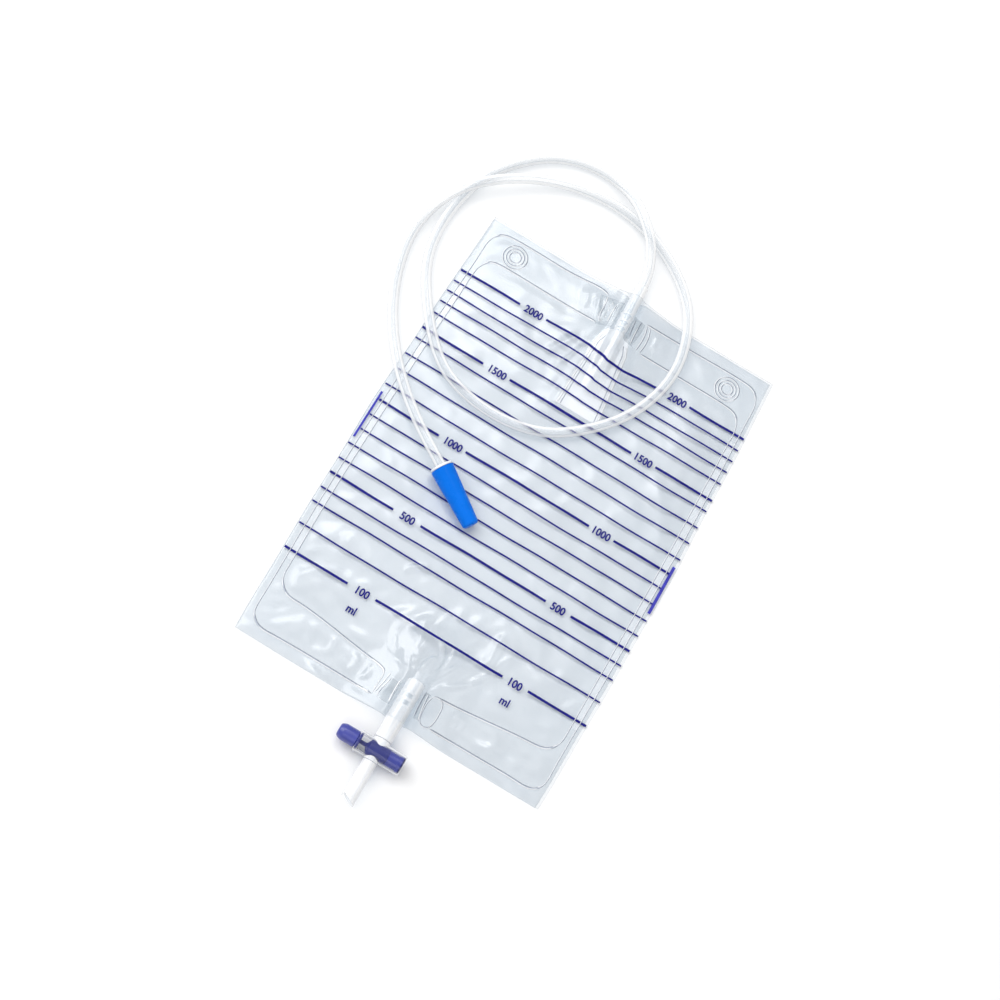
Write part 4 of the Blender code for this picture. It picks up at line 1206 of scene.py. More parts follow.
def clear_plastic(name):
    """One of the bag's clear and milky plastics. Each has its stops, the tint of light that goes
    through, its roughness, cloud and flow scales, bump, cloud and gloss."""
    colours = bpy.context.scene.drainage_bag_colours
    haze, grey, milky = tuple(colours.film), tuple(colours.seam), tuple(colours.flap)
    fold_highlight_haze = tuple(mix(c, 1.0, 0.6) for c in haze)
    painted_seam_shade = tuple(0.48 * c for c in grey)
    edge, band = (0.90, 0.92, 0.95), (0.94, 0.96, 1.0)
    finishes = {
        # The front film carries the gloss of its folds and only a little haze. The haze of both
        # lies on the back one, under the ports and the flaps.
        # its haze turns paler and thicker where the folds turn from the eye: a painted highlight on
        # the folds
        "clear_front_film": (
            [(0.0, haze, 0.06), (0.30, haze, 0.12), (0.8, fold_highlight_haze, 0.5)],
            (0.955, 0.963, 0.972), (0.20, 0.27), 14.0, 45.0, 0.03, 0.8, 1.70),
        "clear_back_film": (
            [(0.0, haze, 0.23), (0.8, haze, 0.33)],
            (0.955, 0.963, 0.972), (0.24, 0.32), 14.0, 45.0, 0.03, 0.85, 1.05),
        # the cut edge of the film scatters the light and looks paler
        "cut_film_edge": (
            [(0.0, edge, 0.35), (1.0, edge, 0.45)], (0.86, 0.88, 0.90), (0.35, 0.5), 60.0),
        # seam ridges: grey, painted darker as shade where their sides turn from the eye; the paler
        # copy is a painted highlight on ridge sides turned down the bag or to its left, and the
        # plain pale strip of the flaps' side welds
        "welded_film": (
            [(0.0, grey, 0.72), (0.15, painted_seam_shade, 0.84), (1.0, painted_seam_shade, 0.9)],
            (0.95, 0.96, 0.97), (0.12, 0.22), 60.0, 160.0, 0.2),
        "welded_film_pale_and_highlight": (
            [(0.0, WHITE, 0.75), (1.0, WHITE, 0.9)],
            (0.95, 0.96, 0.97), (0.12, 0.22), 60.0, 160.0, 0.2),
        "welded_band": (
            [(0.0, band, 0.26), (1.0, band, 0.4)],
            (0.98, 0.985, 0.99), (0.15, 0.25), 60.0, 120.0, 0.2, 0.85),
        "pressed_film": (
            [(0.0, (0.26, 0.32, 0.37), 0.30), (1.0, (0.30, 0.36, 0.42), 0.40)],
            (0.97, 0.975, 0.98), (0.10, 0.2), 80.0, 160.0, 0.3, 0.8),
        "milky_flap_film": (
            [(0.0, milky, 0.45), (0.5, milky, 0.62), (1.0, milky, 0.8)],
            (0.975, 0.98, 0.985), (0.25, 0.40), 30.0, 90.0, 0.3),
        "milky_flap_hem": (
            [(0.0, milky, 0.60), (1.0, milky, 0.8)],
            (0.975, 0.98, 0.985), (0.25, 0.40), 30.0, 90.0, 0.3),
        # ports: the white walls and grey edge lines set by the turn from the eye are painted light
        # and shade
        "soft_port_plastic": (
            [(0.0, (0.66, 0.73, 0.79), 0.45), (0.13, (0.72, 0.78, 0.83), 0.50), (0.21, WHITE, 0.85),
             (0.66, WHITE, 0.90), (0.86, (0.72, 0.76, 0.80), 0.85)],
            (0.93, 0.95, 0.97), (0.12, 0.22), 60.0, 80.0, 0.1),
        "soft_outlet_plastic": (
            [(0.0, (0.86, 0.89, 0.92), 0.78), (0.03, (0.96, 0.97, 0.99), 0.82),
             (0.10, (0.80, 0.83, 0.87), 0.82), (0.22, WHITE, 0.94),
             (0.46, (0.91, 0.93, 0.95), 0.90), (0.66, WHITE, 0.92),
             (0.88, (0.56, 0.60, 0.66), 0.9)],
            (0.82, 0.84, 0.86), (0.12, 0.22), 60.0, 80.0, 0.1),
        # darker grey between the ribs: painted shade in the port's hollows
        "soft_outlet_shaded_between_ribs": (
            [(0.0, (0.50, 0.55, 0.60), 0.75), (0.06, (0.62, 0.67, 0.72), 0.75),
             (0.18, (0.93, 0.95, 0.97), 0.85), (0.7, WHITE, 0.92), (0.92, (0.72, 0.76, 0.80), 0.9)],
            (0.93, 0.95, 0.97), (0.12, 0.22), 60.0, 80.0, 0.1),
        # tube: its white walls and grey lines are painted light and shade in place of refraction
        "clear_tube_plastic": (
            [(0.0, (0.93, 0.95, 0.97), 0.16), (0.07, (0.90, 0.92, 0.95), 0.22),
             (0.12, (0.62, 0.67, 0.72), 0.55), (0.19, WHITE, 0.72), (0.60, WHITE, 0.80),
             (0.78, (0.62, 0.66, 0.71), 0.75), (1.0, (0.52, 0.56, 0.61), 0.85)],
            (0.82, 0.835, 0.85), (0.14, 0.19), 50.0, 40.0, 0.01, 0.97, 1.4),
        # the inner wall of a clear tube shows only faintly, with a painted grey line where it turns
        # edge on
        "clear_bore": (
            [(0.0, WHITE, 0.03), (0.8, WHITE, 0.15), (1.0, (0.7, 0.74, 0.78), 0.3)],
            (0.95, 0.955, 0.96), (0.14, 0.19), 50.0, 40.0, 0.01, 0.97, 1.08),
        # drain tip: its white walls and grey edge lines are painted light and shade
        "milky_tip_plastic": (
            [(0.0, (0.92, 0.94, 0.96), 0.78), (0.04, WHITE, 0.82), (0.11, (0.86, 0.88, 0.91), 0.80),
             (0.24, WHITE, 0.92), (0.48, (0.86, 0.88, 0.91), 0.90), (0.66, WHITE, 0.92),
             (0.86, (0.56, 0.60, 0.66), 0.92)],
            (0.88, 0.90, 0.92), (0.12, 0.2), 60.0, 80.0, 0.05),
        # the inner wall of the drain tip is seen past its slanted cut, painted greyer as shade
        # inside the tip
        "milky_tip_shaded_bore": (
            [(0.0, (0.80, 0.83, 0.88), 0.40), (1.0, (0.66, 0.70, 0.76), 0.55)],
            (0.95, 0.955, 0.96), (0.14, 0.19), 50.0, 40.0, 0.02, 0.97, 1.2),
        # valve body: its white walls and grey edge lines are painted light and shade
        "clear_valve_plastic": (
            [(0.0, (0.80, 0.84, 0.95), 0.0), (0.26, (0.80, 0.84, 1.0), 0.04), (0.44, WHITE, 0.50),
             (0.66, WHITE, 0.75), (0.84, (0.50, 0.54, 0.68), 0.75)],
            (0.84, 0.855, 0.88), (0.06, 0.10), 80.0, 60.0, 0.03),
    }
    return clear_material(name, *finishes[name])


def spool_material(name="satin_blue_spool", share=1.0, shine=1.0):
    base = tuple(share * c for c in bpy.context.scene.drainage_bag_colours.spool)
    cloud = tuple(min(1.0, 1.35 * c + 0.004 * share) for c in base)
    material, shader = plastic_material(
        name, base, cloud, 160.0, 0.6, (0.28, 0.42), 300.0, 2600.0, 0.5, 0.25, 0.0001)
    shader.inputs["Specular IOR Level"].default_value = 0.5 * shine
    shader.inputs["Coat Weight"].default_value = 0.3 * shine
    shader.inputs["Coat Roughness"].default_value = 0.2
    return material


def cap_material():
    base = tuple(bpy.context.scene.drainage_bag_colours.cap)
    cloud = tuple(min(1.0, 1.15 * c) for c in base)
    material, shader = plastic_material(
        "satin_blue_cap", base, cloud, 90.0, 0.6, (0.22, 0.32), 260.0, 2400.0, 0.5, 0.22, 0.0001)
    shader.inputs["Specular IOR Level"].default_value = 0.14
    return material


def connector_material():
    base = tuple(bpy.context.scene.drainage_bag_colours.connector)
    cloud = tuple(0.95 * c for c in base)
    return plastic_material(
        "satin_white_connector", base, cloud, 110.0, 0.6, (0.26, 0.40), 260.0, 2400.0, 0.5, 0.22,
        0.0001)[0]


def ink_material(name="printed_ink", base=None):
    base = base or tuple(bpy.context.scene.drainage_bag_colours.ink)
    cloud = tuple(min(1.0, 1.7 * c + 0.006) for c in base)
    material, shader = plastic_material(
        name, base, cloud, 420.0, 0.6, (0.35, 0.55), 500.0, 3000.0, 0.5, 0.3, 0.00005)
    shader.inputs["Specular IOR Level"].default_value = 0.12
    return material


def floor_material():
    material, shader = plastic_material(
        "pale_floor", (0.93, 0.93, 0.93), (0.95, 0.95, 0.95), 3.0, 0.6, (0.55, 0.65),
        20.0, 300.0, 0.4, 0.05, 0.0002)
    shader.inputs["Specular IOR Level"].default_value = 0.2
    return material


# The pieces


class DRAINAGEBAG_OT_films(bpy.types.Operator):
    """Front and back film of the bag, slack between their welds and drawn round the ports"""
    bl_idname = "drainage_bag.films"
    bl_label = "Bag films"

    def execute(self, context):
        columns, rows = film_grid()
        self.film("shown_front_film", columns, rows, True, "front_film")
        self.film("shown_back_film", columns[::2], rows[::2], False, "back_film")
        return {"FINISHED"}

    def film(self, name, columns, rows, is_front, node):
        u, y = np.meshgrid(columns, rows)
        x = bulged(u, y)
        top = front_height(x, y) if is_front else back_height(x, y)
        rim = smooth((np.abs(u) / BAG_HALF - 0.93) / 0.07)
        x = x + np.sign(x) * rim * 0.00025 * (np.sin(y / 0.0213) + np.sin(y / 0.0131 + 1.0))
        inset = np.minimum(np.minimum(BAG_HALF - np.abs(u), y), BAG_LENGTH - y)
        thick = (SHOWN_FILM if is_front else FILM) * (0.15 + 0.85 * smooth(inset / 0.002))
        upper = np.stack([x, y, top], axis=-1)
        lower = np.stack([x, y, top - thick], axis=-1)
        lower[..., 2] = np.maximum(lower[..., 2], 0.0)
        mesh = sheet_mesh(name, upper, lower)
        piece = add_piece(name, mesh, "bag", clear_plastic("clear_" + node), [node])
        rim_start = len(mesh.polygons) - 2 * (upper.shape[0] + upper.shape[1] - 2)
        share_faces(mesh, [clear_plastic("cut_film_edge")], lambda face: face.index >= rim_start)


class DRAINAGEBAG_OT_seams(bpy.types.Operator):
    """Welded seam lines, hanging rings and the short welds beside the ports"""
    bl_idname = "drainage_bag.seams"
    bl_label = "Welded seams"

    def execute(self, context):
        sizes = context.scene.drainage_bag_sizes
        lines = [(seen_line(seam, 0.0009), 1.0) for seam in SEAMS]
        self.ridges("edge_seams", lines, sizes, True)
        rings = [(circle_line(centre, radius), 0.75)
                 for centre in EYELETS for radius in EYELET_RADII]
        self.ridges("hanging_rings", rings, sizes)
        bands = []
        for outer, inner in ((OUTER_SEAM, INNER_SEAM), (OUTER_SEAM_RIGHT, INNER_SEAM_RIGHT)):
            y = np.linspace(54.0, 270.0, 120)
            edges = [np.interp(-y, *np.array([(-py, px) for px, py in seam if 25 < py < 296]).T)
                     for seam in (outer, inner)]
            width = np.abs(edges[0] - edges[1]) - 0.6
            bands.append((np.column_stack([(edges[0] + edges[1]) / 2, y]) / 1000, width / 1000))
        self.pressed("seam_bands", bands, BAND_LAYER, "welded_band")
        plates = []
        for middle, width in PLATES:
            plate = curve_through(np.column_stack([middle, width]) / 1000, 22)
            plates.append((plate[:, :2], plate[:, 2]))
        self.pressed("pressed_plates", plates, PLATE_LAYER, "pressed_film")
        welds = [(seen_line(weld, 0.0006), 0.6) for weld in PORT_WELDS]
        welds.append((seen_line(OUTLET_RING, 0.0006, closed=True), 0.55))
        self.ridges("port_welds", welds, sizes)
        return {"FINISHED"}

    def ridges(self, name, lines, sizes, slim_sides=False):
        """Welded ridges, with a painted highlight: paler on the sides turned down the bag or to its
        left.
        """
        mesh = bead_mesh(name, lines, sizes.seam_width, sizes.seam_height, slim_sides)
        add_piece(name, mesh, "bag", clear_plastic("welded_film"))
        share_faces(mesh, [clear_plastic("welded_film_pale_and_highlight")],
                    lambda face: min(face.normal.x, face.normal.y) < -0.25)

    def pressed(self, name, strips, layer, finish):
        mesh = ribbon_mesh(name, strips, *layer)
        add_piece(name, mesh, "bag", clear_plastic(finish))


def line_rise(x, height):
    """How far a printed line rises over the reflux valve, in millimetres."""
    top, low = LINE_DRAW_FADE
    fade = (height - low) / (top - low)
    return np.interp(x, LINE_DRAW_X, LINE_DRAW_RISE) * max(0.0, fade)


class DRAINAGEBAG_OT_graduations(bpy.types.Operator):
    """Printed volume lines and numbers, and the marks at both side edges"""
    bl_idname = "drainage_bag.graduations"
    bl_label = "Graduations"

    def execute(self, context):
        sizes = context.scene.drainage_bag_sizes
        lines = []
        for height, number in GRADUATIONS:
            width = sizes.bold_line if number else sizes.thin_line
            reach = 1000 * BAG_HALF * (1 + side_bulge(height / 1000))
            beside_bar = SIDE_BAR_ENDS[0] < height < SIDE_BAR_ENDS[1]
            reach -= BAR_MARGIN if beside_bar else LINE_MARGIN
            for start, end in self.runs(number, reach):
                x = np.linspace(start, end, max(8, int((end - start) / 0.9)))
                sway = 0.18 * np.sin(x / 17.0 + height) + 0.10 * np.sin(x / 7.3 + 2 * height)
                y = height + line_rise(x, height) + sway
                lines.append((np.column_stack([x, y]) / 1000, width))
        self.printed("graduation_lines", lines, ink_material())
        y = np.linspace(*SIDE_BAR_ENDS, 40)
        bars = [(np.column_stack([np.full(40, x), y]) / 1000, width / 1000)
                for x, width in SIDE_BARS]
        self.printed("side_bars", bars, ink_material("printed_bar_ink", BAR_INK))
        self.numbers(sizes.digit_height)
        return {"FINISHED"}

    def printed(self, name, lines, ink):
        mesh = ribbon_mesh(name, lines, *PRINT_LAYER)
        add_piece(name, mesh, "bag", ink)

    def runs(self, number, reach):
        if not number:
            return [(-reach, reach)]
        edges = [-reach, *NUMBER_GAPS[0], *NUMBER_GAPS[1], reach]
        return [(edges[0], edges[1]), (edges[2], edges[3]), (edges[4], edges[5])]

    def numbers(self, height):
        marks = []
        for y, number in GRADUATIONS:
            if number:
                marks += [(number, middle, y) for middle in NUMBER_MIDDLES]
        marks += [("ml", middle, UNIT_Y) for middle in NUMBER_MIDDLES]
        bm = bmesh.new()
        for text, middle, y in marks:
            curve = bpy.data.curves.new("digits", "FONT")
            curve.body = text
            curve.size = height / DIGIT_SHARE
            curve.offset = DIGIT_BOLDNESS
            curve.align_x = "CENTER"
            curve.extrude = DIGIT_HALF
            curve.resolution_u = 6
            label = new_object("digits", curve)
            graph = bpy.context.evaluated_depsgraph_get()
            mesh = bpy.data.meshes.new_from_object(label.evaluated_get(graph))
            bpy.data.objects.remove(label, do_unlink=True)
            bpy.data.curves.remove(curve)
            co = np.array([v.co for v in mesh.vertices])
            x = co[:, 0] * DIGIT_WIDTH + middle / 1000
            py = co[:, 1] - height / 2 + (y + line_rise(middle, y)) / 1000
            x, py = under_the_eye(x, py)
            z = front_height(x, py) + DIGIT_MIDDLE + co[:, 2]
            co = np.column_stack([x, py + BAG_BOTTOM, z])
            for vert, place in zip(mesh.vertices, co):
                vert.co = place
            bm.from_mesh(mesh)
            bpy.data.meshes.remove(mesh)
        mesh = mesh_of("graduation_numbers", bm)
        add_piece("graduation_numbers", mesh, "bag", ink_material())


class DRAINAGEBAG_OT_reflux_valve(bpy.types.Operator):
    """Two milky flaps welded along their sides below the inlet port, open at the bottom"""
    bl_idname = "drainage_bag.reflux_valve"
    bl_label = "Reflux valve"

    def execute(self, context):
        rows = spaced(FLAP_HEM_Y, BAG_LENGTH - FLAP_TOP, 0.0011)
        across = np.linspace(-1.0, 1.0, 49)
        s, y = np.meshgrid(across, rows)
        u = s * flap_half_width(y)
        x = axis_x(y) + u
        hem = smooth((FLAP_HEM_Y + 0.012 - y) / 0.012) * np.cos(s * 5.2 + 0.6) * 0.00012
        for name, node, side in (("shown_flap_front", "reflux_flap_front", 1.0),
                                 ("shown_flap_back", "reflux_flap_back", -1.0)):
            room = FLAP_HALF + inlet_hold(y) * tent(u, FLAP_WRAP)
            inner = middle_z(u, y) + side * room + hem * side
            outer = inner + side * FLAP_FILM
            top, bottom = (outer, inner) if side > 0 else (inner, outer)
            mesh = sheet_mesh(name, np.stack([x, y, top], -1), np.stack([x, y, bottom], -1))
            piece = add_piece(
                name, mesh, "bag", clear_plastic("milky_flap_film"), [node])
            share_faces(mesh, [clear_plastic("milky_flap_hem")],
                        lambda face: face.center.y - BAG_BOTTOM < FLAP_HEM_Y + 0.0085)
        self.side_welds()
        return {"FINISHED"}

    def side_welds(self):
        """The welded strip along each side of the sleeve, a little inside its edge."""
        shape = ((-0.5, 0.00009), (0.0, 0.00020), (0.5, 0.00009), (0.0, 0.00004))
        verts, faces = [], []
        y = spaced(FLAP_HEM_Y + 0.0010, BAG_LENGTH - FLAP_TOP - 0.006, 0.0015)
        for side in (-1.0, 1.0):
            for inset, width in ((0.0012, 0.0014), (0.0034, 0.0006)):
                first = len(verts)
                middle = side * (flap_half_width(y) - inset)
                for offset, rise in shape:
                    u = middle + offset * width
                    room = FLAP_HALF + inlet_hold(y) * tent(u, FLAP_WRAP)
                    z = middle_z(u, y) + room + FLAP_FILM + rise
                    verts += np.column_stack([axis_x(y) + u, y + BAG_BOTTOM, z]).tolist()
                faces += strip_faces(first, len(shape), len(y))
                faces += strip_ends(first, len(shape), len(y))
        mesh = closed_mesh("flap_side_welds", verts, faces)
        mesh.shade_smooth()
        add_piece("flap_side_welds", mesh, "bag", clear_plastic("welded_film_pale_and_highlight"))
        run = len(shape) * (len(y) - 1) + 2
        share_faces(mesh, [clear_plastic("welded_film")], lambda face: face.index // run % 2)


def ribbed_side(radius, rib, places, rib_width=0.0010):
    points = []
    for place in sorted(places, reverse=True):
        points.append((radius, place + rib_width))
        points.append((radius + rib, place + rib_width / 2))
        points.append((radius + rib, place - rib_width / 2))
        points.append((radius, place - rib_width))
    return points


class DRAINAGEBAG_OT_ports(bpy.types.Operator):
    """Inlet sleeve and outlet port with their welding ribs"""
    bl_idname = "drainage_bag.ports"
    bl_label = "Ports"

    def execute(self, context):
        top, bottom = INLET_STANDOUT, -INLET_INSIDE
        socket = TUBE_RADIUS + GAP
        ribs = [-below for below in INLET_RIBS_BELOW_TOP_EDGE]
        profile = [(INLET_RADIUS, top)] + ribbed_side(INLET_RADIUS, INLET_RIB, ribs)
        profile += [(INLET_RADIUS, bottom + 0.002), (INLET_RADIUS - 0.0008, bottom)]
        profile += [(INLET_BORE, bottom), (INLET_BORE, top - TUBE_SOCKET)]
        profile += [(socket, top - TUBE_SOCKET), (socket, top)]
        start, way = inlet_place(), inlet_direction()
        mesh = add_turned("shown_inlet_port", rounded(profile), start, way, "bag",
                          clear_plastic("soft_port_plastic"), "inlet_port")
        start = on_frame(start)
        share_faces(mesh, [clear_plastic("clear_bore")],
                    lambda face: (face.center - start).cross(way).length < socket + 0.0001)

        lip = 0.0012
        profile = [(OUTLET_BORE, OUTLET_INSIDE)]
        profile += arc(OUTLET_RADIUS - lip, OUTLET_INSIDE - lip, lip, 90, 0, 8)
        profile += rounded(ribbed_side(OUTLET_RADIUS, OUTLET_RIB, OUTLET_RIBS), 0.0002)[4:-4]
        end = -OUTLET_OUTSIDE
        profile += [(OUTLET_RADIUS, end + 0.0003), (OUTLET_RADIUS - 0.0003, end)]
        profile += [(OUTLET_BORE, end)]
        mesh = add_turned("shown_outlet_port", profile, (OUTLET_X, 0.0, OUTLET_Z), (0, 1, 0),
                          "bag", clear_plastic("soft_outlet_plastic"), "outlet_port")
        # the faces between the ribs take a darker copy of the finish: painted shade
        share_faces(mesh, [clear_plastic("soft_outlet_shaded_between_ribs")], self.between_ribs)
        return {"FINISHED"}

    def between_ribs(self, face):
        at = face.center.y - BAG_BOTTOM
        on_rib = min(abs(at - rib) for rib in OUTLET_RIBS) < 0.0011
        return 0.006 < at < 0.0225 and not on_rib


def valve_part(name, profile, way, offset=Vector((0.0, 0.0, 0.0))):
    return placed(turned(name, profile, closed=False), valve_place() + offset, way)


def rod(radius, high, low):
    return [(0.0, high), (radius, high), (radius, low), (0.0, low)]


class DRAINAGEBAG_OT_drain_valve(bpy.types.Operator):
    """Clear valve body, its blue push-pull spool and the drain tip"""
    bl_idname = "drainage_bag.drain_valve"
    bl_label = "Drain valve"

    def execute(self, context):
        self.body()
        self.spool()
        self.tip()
        return {"FINISHED"}

    def body(self):
        left, right, bead = -BARREL_LEFT, BARREL_RIGHT, 0.0003
        profile = [(0.0, right), (BARREL_RADIUS - 0.0005, right), (BARREL_RADIUS, right - 0.0005)]
        profile += [(BARREL_RADIUS, left + 0.0020), (BARREL_RADIUS + bead, left + 0.0014)]
        profile += [(BARREL_RADIUS + bead, left + 0.0004), (BARREL_RADIUS, left), (0.0, left)]
        barrel = valve_part("barrel", profile, (1, 0, 0))
        upper, lower = OUTLET_BORE - GAP, LOWER_SPIGOT_RADIUS
        collar, end = COLLAR_REACH, COLLAR_REACH + SPIGOT_LENGTH
        cross = [(0.0, end), (upper - 0.0005, end), (upper, end - 0.001), (upper, collar)]
        cross += [(OUTLET_RADIUS, collar), (OUTLET_RADIUS, 0.0), (TIP_RADIUS, 0.0)]
        cross += [(TIP_RADIUS, -collar), (lower, -collar), (lower, -end + 0.001)]
        cross += [(lower - 0.0004, -end), (0.0, -end)]
        spigots = valve_part("spigots", cross, (0, 1, 0))
        bore, margin = BARREL_RADIUS - BARREL_WALL, 0.002
        barrel_bore = valve_part("barrel_bore", rod(bore, right + margin, left - margin), (1, 0, 0))
        upper_bore, lower_bore = upper - SPIGOT_WALL, lower - 0.7 * SPIGOT_WALL
        ends = [(0.0, end + margin), (upper_bore, end + margin), (upper_bore, 0.0)]
        ends += [(lower_bore, 0.0), (lower_bore, -end - margin), (0.0, -end - margin)]
        flow_bore = valve_part("flow_bore", ends, (0, 1, 0))
        mesh = boolean_mesh("shown_valve_body", barrel, [
            ("UNION", spigots), ("DIFFERENCE", barrel_bore), ("DIFFERENCE", flow_bore)])
        finish_mesh(mesh, CUT_SHARP)
        add_piece("shown_valve_body", mesh, "bag",
                  clear_plastic("clear_valve_plastic"), ["valve_body"])
        axis = on_frame(valve_place())
        share_faces(mesh, [clear_plastic("soft_outlet_plastic")], lambda face: math.hypot(
            face.center.y - axis.y, face.center.z - axis.z) > BARREL_RADIUS + 0.0004)

    def spool(self):
        land = BARREL_RADIUS - BARREL_WALL - GAP
        right = BARREL_RIGHT - GAP
        tail, disc = land - 0.0006, right - 0.0028
        land_left = SPOOL_LAND_OFFSET - SPOOL_LAND_HALF
        land_right = SPOOL_LAND_OFFSET + SPOOL_LAND_HALF
        stem = SPOOL_STEM_RADIUS
        rim_left = -BARREL_LEFT + 0.0006
        rim_right = rim_left + 0.0012
        knob = -BARREL_LEFT - GAP
        knob_end = knob - SPOOL_KNOB_LENGTH
        profile = [(0.0, right - 0.0008), (land - 0.0012, right - 0.0008), (land - 0.0009, right)]
        profile += [(land, right - 0.0003), (land, right - 0.0010), (land, disc)]
        profile += [(tail, disc - 0.0004), (tail, land_right + 0.0004), (land, land_right)]
        profile += [(land, land_left), (stem, land_left - 0.0022), (stem, rim_right + 0.0002)]
        profile += [(land, rim_right), (land, rim_left), (land - 0.0008, rim_left - 0.0006)]
        profile += [(land - 0.0008, knob + 0.0001), (land - 0.0003, knob), (land, knob - 0.0003)]
        profile += [(land, knob_end + 0.0030), (land - 0.0014, knob_end), (0.0, knob_end)]
        front = rounded([(land, knob - 0.0003), *profile[-3:]], 0.0013, 6)[7:]
        profile = rounded(profile, 0.0002)[:-9] + front
        spool = valve_part("spool", profile, (1, 0, 0))
        depth = SPOOL_SCALLOP_DEPTH
        scallop_radius = (SPOOL_SCALLOP_HALF**2 + depth**2) / (2 * depth)
        cuts = []
        for side in (1, -1):
            offset = Vector((SPOOL_LAND_OFFSET, side * (land - depth + scallop_radius), 0.0))
            scallop = valve_part(
                "scallop", rod(scallop_radius, 2 * land, -2 * land), (0, 0, 1), offset)
            cuts.append(("DIFFERENCE", scallop))
        mesh = boolean_mesh("shown_valve_spool", spool, cuts)
        finish_mesh(mesh, CUT_SHARP)
        add_piece("shown_valve_spool", mesh, "spool", spool_material(),
                  ["valve_spool"])

        # The spool is one blue moulding, and its faces take copies of its colour: the land inside
        # the barrel painted darker as shade, the disc at its right end darker still as shade, the
        # tail a lighter copy, the knob the plain colour.
        def spool_shade_zone(face):
            at = face.center.x - OUTLET_X
            if at > right - 0.0011:
                return 2
            if at > land_right + 0.0003:
                return 3
            return at > rim_left - 0.0002

        share_faces(mesh, [
            spool_material("satin_blue_spool_shaded_land", 0.72, 0.3),
            spool_material("satin_blue_spool_shaded_disc", 0.42, 0.1),
            spool_material("satin_blue_spool_tail", 1.15, 0.3)], spool_shade_zone)

    def tip(self):
        bore = LOWER_SPIGOT_RADIUS + GAP
        profile = rounded([
            (TIP_RADIUS, 0.0), (TIP_RADIUS, -TIP_LENGTH), (bore, -TIP_LENGTH), (bore, 0.0)])
        start = valve_place().y - COLLAR_REACH - GAP
        tip = placed(turned("tip", profile), (OUTLET_X, start, OUTLET_Z), (0, 1, 0))
        size = 4 * TIP_RADIUS
        bm = bmesh.new()
        bmesh.ops.create_cube(bm, size=size)
        slant = mesh_of("slant", bm)
        corner = on_frame((OUTLET_X + TIP_RADIUS, start - TIP_LENGTH, OUTLET_Z))
        turn = Matrix.Rotation(-TIP_SLANT, 4, "Z")
        slant.transform(Matrix.Translation(corner) @ turn @ Matrix.Translation((0, -size / 2, 0)))
        mesh = boolean_mesh("shown_drain_tip", tip, [("DIFFERENCE", slant)])
        finish_mesh(mesh, CUT_SHARP)
        add_piece("shown_drain_tip", mesh, "bag",
                  clear_plastic("milky_tip_plastic"), ["drain_tip"])
        share_faces(mesh, [clear_plastic("milky_tip_shaded_bore")], lambda face: math.hypot(
            face.center.x - OUTLET_X, face.center.z - OUTLET_Z) < bore + 0.0001)


class DRAINAGEBAG_OT_connector(bpy.types.Operator):
    """White tapered connector and the blue cap pushed over it"""
    bl_idname = "drainage_bag.connector"
    bl_label = "Connector and cap"

    def execute(self, context):
        length, flange = CONNECTOR_LENGTH, CONNECTOR_FLANGE
        step = (length - flange) / CONNECTOR_STEPS
        lip = 0.0003
        profile = [(CONNECTOR_BORE, length), (CONNECTOR_TIP_RADIUS - lip, length)]
        for i in range(CONNECTOR_STEPS):
            low = mix(CONNECTOR_TIP_RADIUS, CONNECTOR_ROOT_RADIUS, (i + 1) / CONNECTOR_STEPS)
            high = mix(CONNECTOR_TIP_RADIUS, CONNECTOR_ROOT_RADIUS, i / CONNECTOR_STEPS)
            base = length - (i + 1) * step
            profile += [(high, base + step - 2 * lip), (low, base + lip), (low - lip, base)]
        profile += [(CONNECTOR_FLANGE_RADIUS, flange), (CONNECTOR_FLANGE_RADIUS, 0.0)]
        socket = TUBE_RADIUS + GAP
        profile += [(socket, 0.0), (socket, CONNECTOR_SOCKET), (CONNECTOR_BORE, CONNECTOR_SOCKET)]
        place, way = connector_place(), connector_direction()
        add_turned("shown_connector", rounded(profile), place, way, "bag",
                   connector_material(), "patient_connector")

        start = CONNECTOR_FLANGE + GAP
        end = start + CAP_LENGTH
        round_end = 0.0021
        inner_mouth, inner_end = CAP_MOUTH_RADIUS - CAP_WALL, CAP_END_RADIUS - CAP_WALL
        floor = CONNECTOR_LENGTH + 2 * GAP
        profile = [(0.0, end)]
        profile += arc(CAP_END_RADIUS - round_end, end - round_end, round_end, 90, 3, 10)
        profile += [(CAP_MOUTH_RADIUS, start + 0.0003), (CAP_MOUTH_RADIUS - 0.0003, start)]
        profile += [(inner_mouth + 0.0002, start), (inner_mouth, start + 0.0002)]
        profile += [(inner_end, floor - 0.0004), (inner_end - 0.0004, floor), (0.0, floor)]
        add_turned("shown_cap", profile, place, way, "cap", cap_material(),
                   "connector_cap", closed=False)
        return {"FINISHED"}


